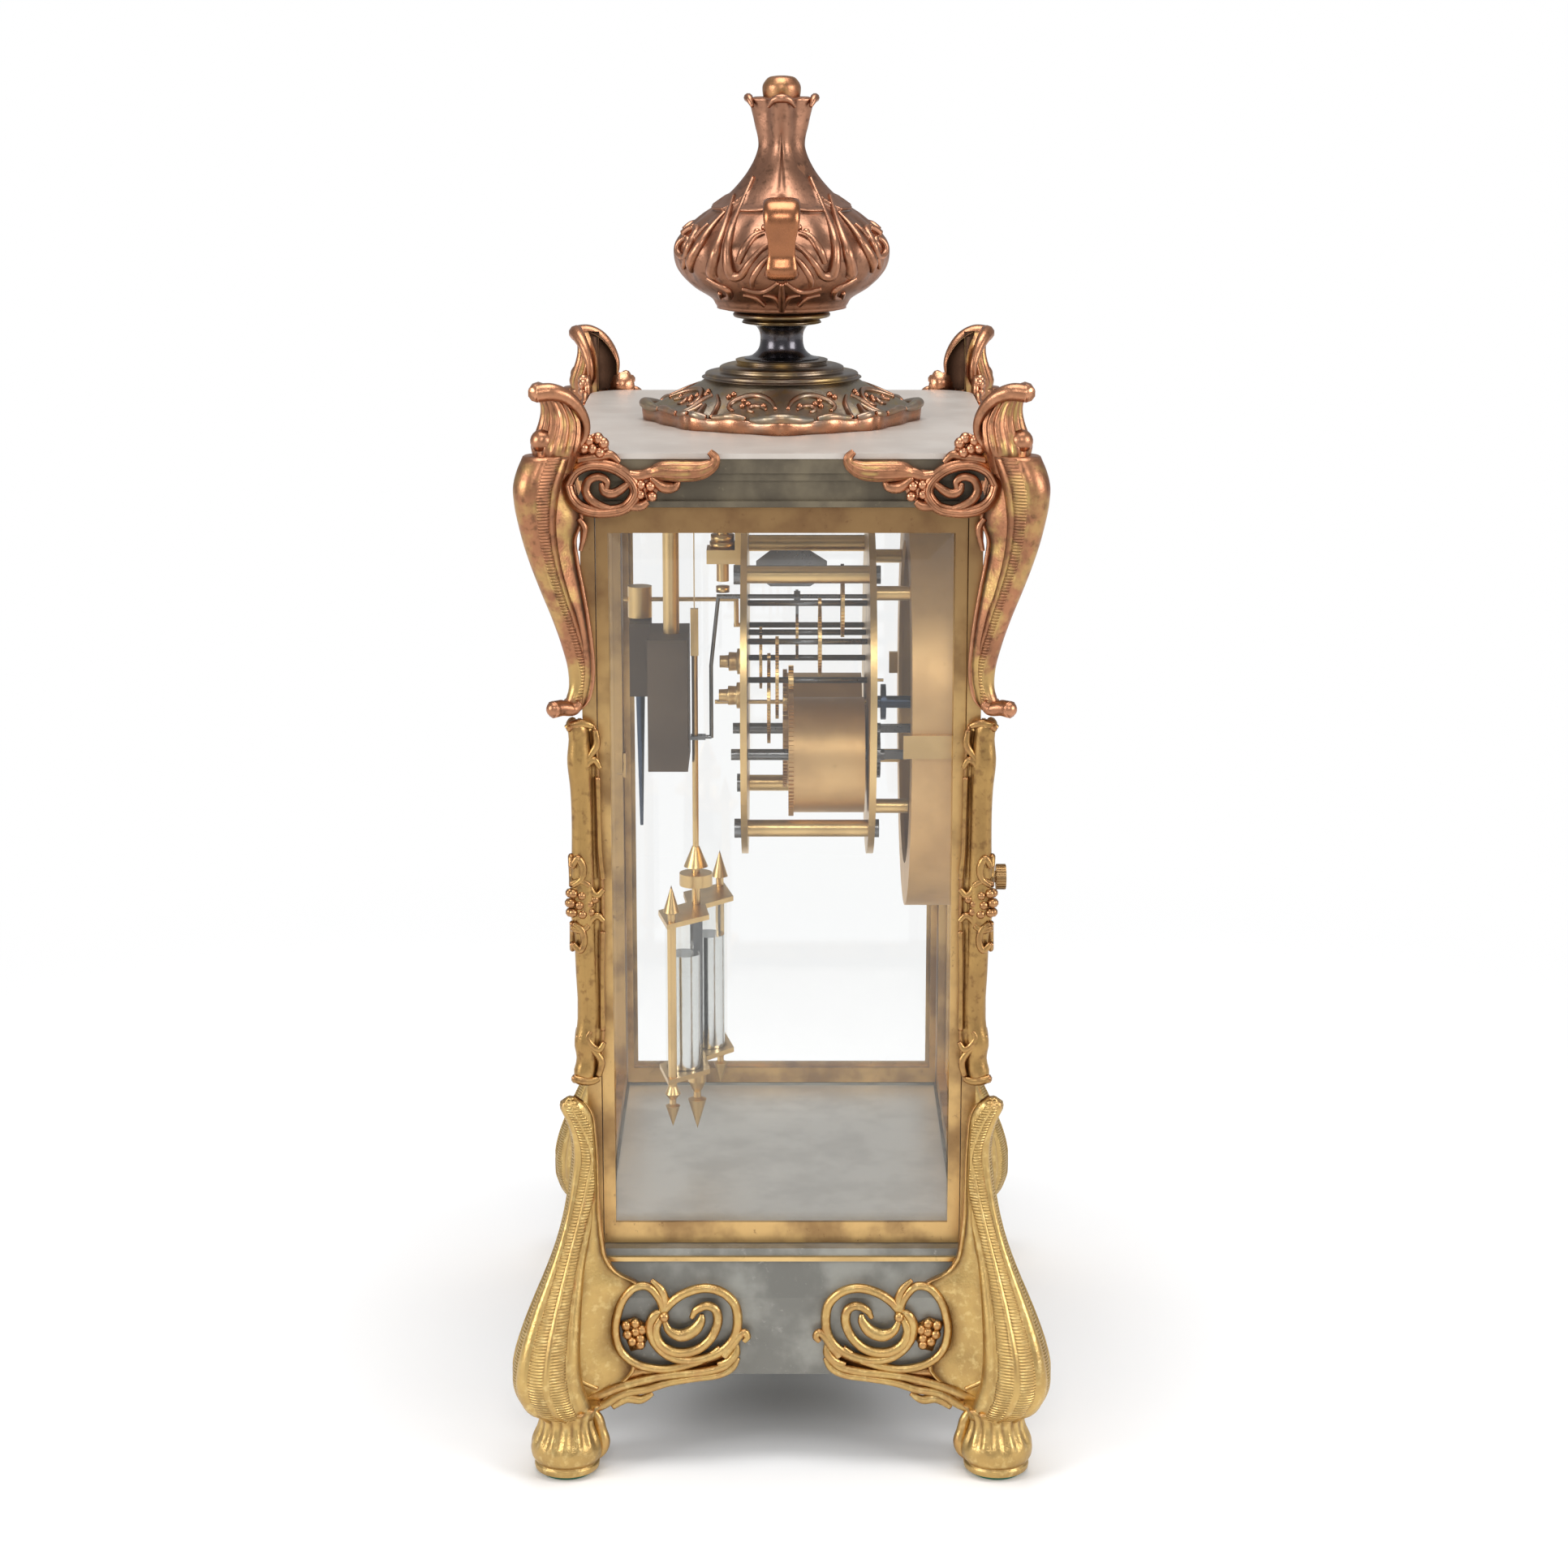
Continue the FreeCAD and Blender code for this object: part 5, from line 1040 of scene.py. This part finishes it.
def make_urn_handles():
    """Two strap handles that swell at the bends."""
    handles = Casting()
    path = [(-29.0, 0, 426.2), (-36.0, 0, 429.0), (-41.5, 0, 428.2), (-44.6, 0, 424.4), (-45.0, 0, 417.6),
            (-44.2, 0, 411.2), (-44.2, 0, 406.6), (-41.0, 0, 405.0), (-36.0, 0, 406.0), (-33.0, 0, 408.0)]
    thick = [1.4, 1.5, 2.1, 2.4, 1.4, 1.4, 2.2, 2.0, 1.5, 1.2]
    wide = [2.6, 5.4, 6.2, 6.2, 4.9, 4.7, 5.5, 5.5, 5.0, 4.4]
    for side in (1, -1):
        handles.tube([(side * x, y, z) for x, y, z in path], thick, sides=28, up=(0, 1, 0), count=64,
            square=0.72, flat=[w / t for w, t in zip(wide, thick)])
    handles.piece("urn_handle_castings", finish["rubbed_copper"], "case", "urn_handles", "copper_bronze")


def make_urn_knob():
    """The turned knob on top of the urn."""
    knob = Casting()
    knob.turn(smooth_path([(0.2, 459.4), (4.6, 459.4), (6.0, 461.8), (6.6, 464.6), (6.4, 467.0), (4.6, 469.3),
                           (2.2, 469.9), (0.2, 470.0)], 40), sides=48)
    knob.piece("urn_finial_knob", finish["copper_cast"], "case", "urn_knob", "copper_bronze")


def skirt_point(turn, reach, lift=0.0):
    """The point of the skirt at an angle and a share of the way from its neck to its rim."""
    lobe = abs(math.cos(2 * turn))
    rim = 42.6 + 3.4 * lobe ** 0.7 + 1.6 * math.cos(8 * turn) + 0.7 * math.cos(16 * turn)
    radius = 26.0 + (rim - 26.0) * reach
    z = 367.2 - 12.2 * reach ** 0.72
    z += 1.7 * max(0.0, (reach - 0.8) / 0.2) ** 2
    z += 0.9 * math.cos(8 * turn) * math.sin(math.pi * min(1.0,
        reach)) + 0.5 * math.cos(16 * turn) * reach ** 2
    return (-radius * math.cos(turn), radius * math.sin(turn), z + lift)


def make_skirt():
    """The lobed skirt under the urn."""
    skirt = Casting()
    turns = np.linspace(0, 2 * math.pi, 256, endpoint=False)
    rings = [[skirt_point(a, r) for a in turns] for r in np.linspace(0, 1, 44)]
    rings.append([(x * 1.02, y * 1.02, z - 0.9) for x, y, z in rings[-1]])
    rings.append([(x * 1.01, y * 1.01, 351.75) for x, y, z in rings[-2]])
    rings.append([(x * 0.97, y * 0.97, 351.72) for x, y, z in rings[-3]])
    rings = [[(x * 0.9, y * 0.9, 368.6) for x, y, z in rings[0]]] + rings
    skirt.loft(rings)

    def eightfold(path, radius, lift=0.3):
        """A cord on the skirt and its images; the path is (degrees, share of the way out)."""
        for quarter in range(4):
            for side in (1, -1):
                line = [skirt_point(math.radians(90 * quarter + side * a), r, lift) for a, r in path]
                skirt.tube(line, radius, sides=8, count=30)

    eightfold([(3, 0.62), (6, 0.40), (13, 0.24), (22, 0.22), (30, 0.36), (31, 0.52), (27, 0.60)],
              [0.6, 0.9, 1.1, 1.1, 1.0, 0.9, 0.6])
    eightfold([(8, 0.60), (12, 0.48), (17, 0.46), (18, 0.56), (15, 0.62)], [0.5, 0.8, 0.9, 0.8, 0.5])
    eightfold([(34, 0.94), (36, 0.72), (38, 0.50), (43, 0.34)], [1.2, 1.0, 0.9, 0.6])
    eightfold([(40, 0.98), (42, 0.80), (44, 0.62)], [1.2, 1.1, 0.7])
    for quarter in range(4):
        line = [skirt_point(math.radians(90 * quarter + a), 0.985, 0.4) for a in (-14, -10, -5, 0, 5, 10, 14)]
        skirt.tube(line, [0.8, 1.7, 2.1, 2.2, 2.1, 1.7, 0.8], sides=14, flat=0.85)
        for side in (1, -1):
            for span in ((16, 33), (36, 44)):
                line = [skirt_point(math.radians(90 * quarter + side * a), 0.99, 0.3)
                        for a in np.linspace(span[0], span[1], 5)]
                skirt.tube(line, [0.9, 1.2, 1.3, 1.2, 0.9], sides=10)
            for a, r in ((20, 0.40), (23, 0.46), (24, 0.33), (33, 0.24), (35, 0.32), (10, 0.50)):
                skirt.ball(skirt_point(math.radians(90 * quarter + side * a), r, 0.5), 1.1, rows=5, sides=8)
    skirt.piece("finial_skirt_casting", finish["skirt_cast"], "case", "finial_skirt", "copper_bronze")


def make_stem():
    """The turned stem between skirt and urn, with the mouldings below it and the collars above."""
    rings = Casting()
    rings.turn(smooth_path([(0.3, 366.4), (25.8, 366.4), (26.9, 367.4), (26.2, 368.5), (22.4, 368.8),
        (21.8, 369.4), (21.6, 370.4), (19.4, 371.2), (16.0, 371.4), (15.8, 372.2), (14.8, 373.0),
        (0.3, 373.1)], 90), sides=96)
    rings.piece("finial_mouldings", finish["ring_bronze"], "case", None, "copper_bronze")
    stem = Casting()
    stem.turn(smooth_path([(0.3, 373.0), (12.6, 373.1), (10.4, 374.2), (8.3, 376.2), (7.5, 379.0),
        (7.7, 382.0), (9.0, 384.4), (10.8, 385.4), (0.3, 385.5)], 70), sides=72)
    stem.piece("finial_stem_turning", finish["gunmetal"], "case", "finial_stem", "gunmetal")
    collar = Casting()
    collar.turn(smooth_path([(0.3, 385.3), (12.6, 385.4), (13.6, 386.2), (12.8, 387.1), (12.4, 387.4),
        (16.2, 387.6), (17.0, 388.4), (16.4, 389.3), (14.6, 389.7), (14.4, 391.0), (0.3, 391.0)], 90),
        sides=72)
    collar.piece("finial_collars", finish["ring_bronze"], "case", None, "copper_bronze")


# ---- glass, dial and movement --------------------------------------------------------------------


DIAL_Z = 250.0
DIAL_FACE_Y = -54.0
SIGHT_LOW_Z, SIGHT_HIGH_Z = 85.6, 325.0
BEVEL_WIDTH, BEVEL_RISE = 9.0, 0.7
ARBOR_LOW_Y, ARBOR_HIGH_Y = -30.2, 11.8
TRAIN_ARBORS = {
    # the body that turns, and its place as (x, z)
    "third_wheel": (6.0, 265.0),
    "escape_wheel": (0.0, 275.4),
    "pin_wheel": (-17.0, 261.4),
    "locking_wheel": (-21.0, 276.0),
    "warning_wheel": (-17.0, 289.0),
    "fly": (-10.0, 300.2),
    "hammer": (33.0, 272.0),
}
NUMERALS = ("XII", "I", "II", "III", "IIII", "V", "VI", "VII", "VIII", "IX", "X", "XI")


def make_glasses():
    """The four sheets, each with a wide bevel round its outer face."""
    for name, body, axis, half in (
        ("left_side_glass", "case", 0, 57.0),
        ("right_side_glass", "case", 0, 57.0),
        ("front_door_glass", "front_door", 1, 75.0),
        ("rear_door_glass", "rear_door", 1, 75.0),
    ):
        low, high = box_mm(name)
        outward = math.copysign(1, low[axis] + high[axis])
        outer, inner = (high[axis], low[axis]) if outward > 0 else (low[axis], high[axis])
        across = (low[1 - axis], high[1 - axis])
        bevel_edge = outer - outward * BEVEL_RISE
        sheet = Casting()
        rings = []
        for out, u0, u1, v0, v1 in ((inner, *across, low[2], high[2]),
                (bevel_edge, *across, low[2], high[2]), (bevel_edge, -half, half, SIGHT_LOW_Z,
            SIGHT_HIGH_Z), (outer, BEVEL_WIDTH - half, half - BEVEL_WIDTH, SIGHT_LOW_Z + BEVEL_WIDTH,
            SIGHT_HIGH_Z - BEVEL_WIDTH)):
            flat = [(u0, v0), (u1, v0), (u1, v1), (u0, v1)]
            rings.append([(out, u, v) if axis == 0 else (u, out, v) for u, v in flat])
        sheet.loft(rings)
        sheet.piece(name + "_sheet", finish["case_glass"], body, name, "glass", smooth=False)


def make_base_line():
    """The bright brass fillet round the foot of the case."""
    half_x, half_y = 94.0, 68.0
    section = [(0.2, 73.2), (-0.9, 73.5), (-0.9, 75.0), (0.2, 75.3)]
    rings = []
    for side_x, side_y in ((-1, -1), (1, -1), (1, 1), (-1, 1)):
        rings.append([(side_x * (half_x - inward), side_y * (half_y - inward), z) for inward, z in section])
    line = Casting()
    line.loft(rings, closed=True)
    line.piece("base_fillet", finish["movement_brass"], "case", None, "case_brass", smooth=False)


def bar_ring_tree():
    """A tree that sets equal bars round a circle that faces along Y."""
    tree = bpy.data.node_groups.new("bar_ring", "GeometryNodeTree")
    sockets = tree.interface
    sockets.new_socket("Geometry", in_out="OUTPUT", socket_type="NodeSocketGeometry")
    for name, kind in (("Count", "Int"), ("Radius", "Float"), ("Bar Size", "Vector"), ("Centre", "Vector"),
                       ("Material", "Material")):
        sockets.new_socket(name, in_out="INPUT", socket_type="NodeSocket" + kind)
    given = tree.nodes.new("NodeGroupInput")
    kinds = ("MeshCircle", "MeshCube", "InputPosition", "InstanceOnPoints", "Transform", "RealizeInstances",
             "SetMaterial")
    circle, bar, spot, spread, turn, solid, coat = (tree.nodes.new("GeometryNode" + kind) for kind in kinds)
    aim = tree.nodes.new("FunctionNodeAlignRotationToVector")
    aim.axis = "X"
    turn.inputs["Rotation"].default_value = (math.pi / 2, 0, 0)
    result = tree.nodes.new("NodeGroupOutput")
    for source, target in (
        (given.outputs["Count"], circle.inputs["Vertices"]),
        (given.outputs["Radius"], circle.inputs["Radius"]),
        (given.outputs["Bar Size"], bar.inputs["Size"]),
        (spot.outputs[0], aim.inputs["Vector"]),
        (circle.outputs[0], spread.inputs["Points"]),
        (bar.outputs[0], spread.inputs["Instance"]),
        (aim.outputs[0], spread.inputs["Rotation"]),
        (spread.outputs[0], turn.inputs["Geometry"]),
        (given.outputs["Centre"], turn.inputs["Translation"]),
        (turn.outputs[0], solid.inputs[0]),
        (solid.outputs[0], coat.inputs["Geometry"]),
        (given.outputs["Material"], coat.inputs["Material"]),
        (coat.outputs[0], result.inputs[0]),
    ):
        tree.links.new(source, target)
    return tree


def bar_ring(tree, name, count, radius, size, centre, material, body):
    """Equal bars of (outward, along, deep) size round a circle; sizes in millimetres."""
    thing = placed(name, bpy.data.meshes.new(name + "_start"))
    modifier = thing.modifiers.new("bars", "NODES")
    modifier.node_group = tree
    values = {"Count": count, "Radius": radius * MM, "Bar Size": [s * MM for s in size],
              "Centre": [c * MM for c in centre], "Material": material}
    for item in tree.interface.items_tree:
        if item.in_out == "INPUT":
            modifier[item.identifier] = values[item.name]
    graph = bpy.context.evaluated_depsgraph_get()
    mesh = bpy.data.meshes.new_from_object(thing.evaluated_get(graph))
    thing.modifiers.clear()
    thing.data = mesh
    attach(thing, body)


def make_numerals():
    """Upright strokes round the dial that spell the hours."""
    # each stroke is (place across at its top, at its foot, weight)
    strokes = {
        "I": [(0.0, 0.0, 1.0)],
        "V": [(-1.6, 0.0, 1.0), (1.6, 0.0, 0.6)],
        "X": [(-1.7, 1.7, 1.0), (1.7, -1.7, 0.6)],
    }
    wide = {"I": 2.2, "V": 4.4, "X": 4.6}
    low, tall = 48.0, 10.5
    marks = Casting()
    for hour, text in enumerate(NUMERALS):
        angle = math.radians(30 * hour)
        out, across = np.array([math.sin(angle), math.cos(angle)]), np.array([math.cos(angle),
            -math.sin(angle)])
        at = -sum(wide[letter] for letter in text) / 2
        for letter in text:
            middle = at + wide[letter] / 2
            at += wide[letter]
            for top, foot, weight in strokes[letter]:
                corners = [(foot - 0.5 * weight, 0), (foot + 0.5 * weight, 0), (top + 0.5 * weight, tall),
                           (top - 0.5 * weight, tall)]
                flat = [(low + v) * out + (middle + u) * across for u, v in corners]
                marks.loft([[(x, y, DIAL_Z + z) for x, z in flat] for y in (DIAL_FACE_Y - 0.15,
                    DIAL_FACE_Y + 0.05)])
    marks.piece("dial_numerals", finish["gunmetal"], "case", None, "enamel", smooth=False)


def circle_y(radius, y, centre_x=0.0, centre_z=DIAL_Z, count=49):
    """Points round a circle that faces along Y; the first and last are one point."""
    return [(centre_x + radius * math.cos(a), y, centre_z + radius * math.sin(a))
            for a in np.linspace(0, 2 * math.pi, count)]


def make_dial_dressing():
    """The minute ring, the bezel, the key-hole rims and the milling of the door knobs."""
    tree = bar_ring_tree()
    face = (0.0, DIAL_FACE_Y - 0.05, DIAL_Z)
    bar_ring(tree, "minute_marks", 60, 64.0, (2.6, 0.45, 0.2), face, finish["gunmetal"], "case")
    bar_ring(tree, "hour_marks", 12, 64.0, (3.2, 1.5, 0.24), face, finish["gunmetal"], "case")
    for body, side in (("front", -1), ("rear", 1)):
        bar_ring(tree, body + "_knob_milling", 26, 4.1, (0.5, 0.5, 3.1), (side * 78.0, side * 74.3, 205.7),
                 finish["case_brass"], body + "_knob")
    rims = Casting()
    rims.tube(circle_y(71.3, -60.0), 1.3, sides=12, closed=True, count=193, up=(0, 1, 0))
    for side in (-1, 1):
        rims.tube(circle_y(4.1, -54.2, side * 22.0, 235.5, 25), 0.75, closed=True, count=49, up=(0, 1, 0))
    rims.piece("dial_rims", finish["movement_brass"], "case", None, "movement_brass")


def make_movement_dressing():
    """Arbors for the trains, and turned collets behind the back plate."""
    for body, (x, z) in TRAIN_ARBORS.items():
        arbor = Casting()
        arbor.tube([(x, ARBOR_LOW_Y, z), (x, ARBOR_HIGH_Y, z)], 1.05, sides=14, count=2)
        arbor.piece(body + "_arbor", finish["steel"], body, None, "steel")
    collets = Casting()
    for x, z in ((9.0, 263.0), (-8.0, 254.0)):
        stations = [(x, y, z) for y in (14.2, 16.0, 16.2, 19.0, 19.2, 22.4)]
        collets.tube(stations, [4.6, 4.6, 3.4, 3.4, 2.4, 2.2], sides=24, count=40)
    for z, radius in ((306.1, 4.6), (308.6, 4.2), (290.0, 2.4)):
        collets.tube([(0, 21.0, z), (0, 21.0, z + 2.2)], radius, sides=24, count=2, up=(0, 1, 0))
    collets.piece("movement_collets", finish["movement_brass"], "case", None, "movement_brass")


make_studio()
dress_cad()
make_lower_mounts()
make_upper_mounts()
make_middle_mounts()
make_urn()
make_urn_handles()
make_urn_knob()
make_skirt()
make_stem()
make_glasses()
make_base_line()
make_dial_dressing()
make_numerals()
make_movement_dressing()
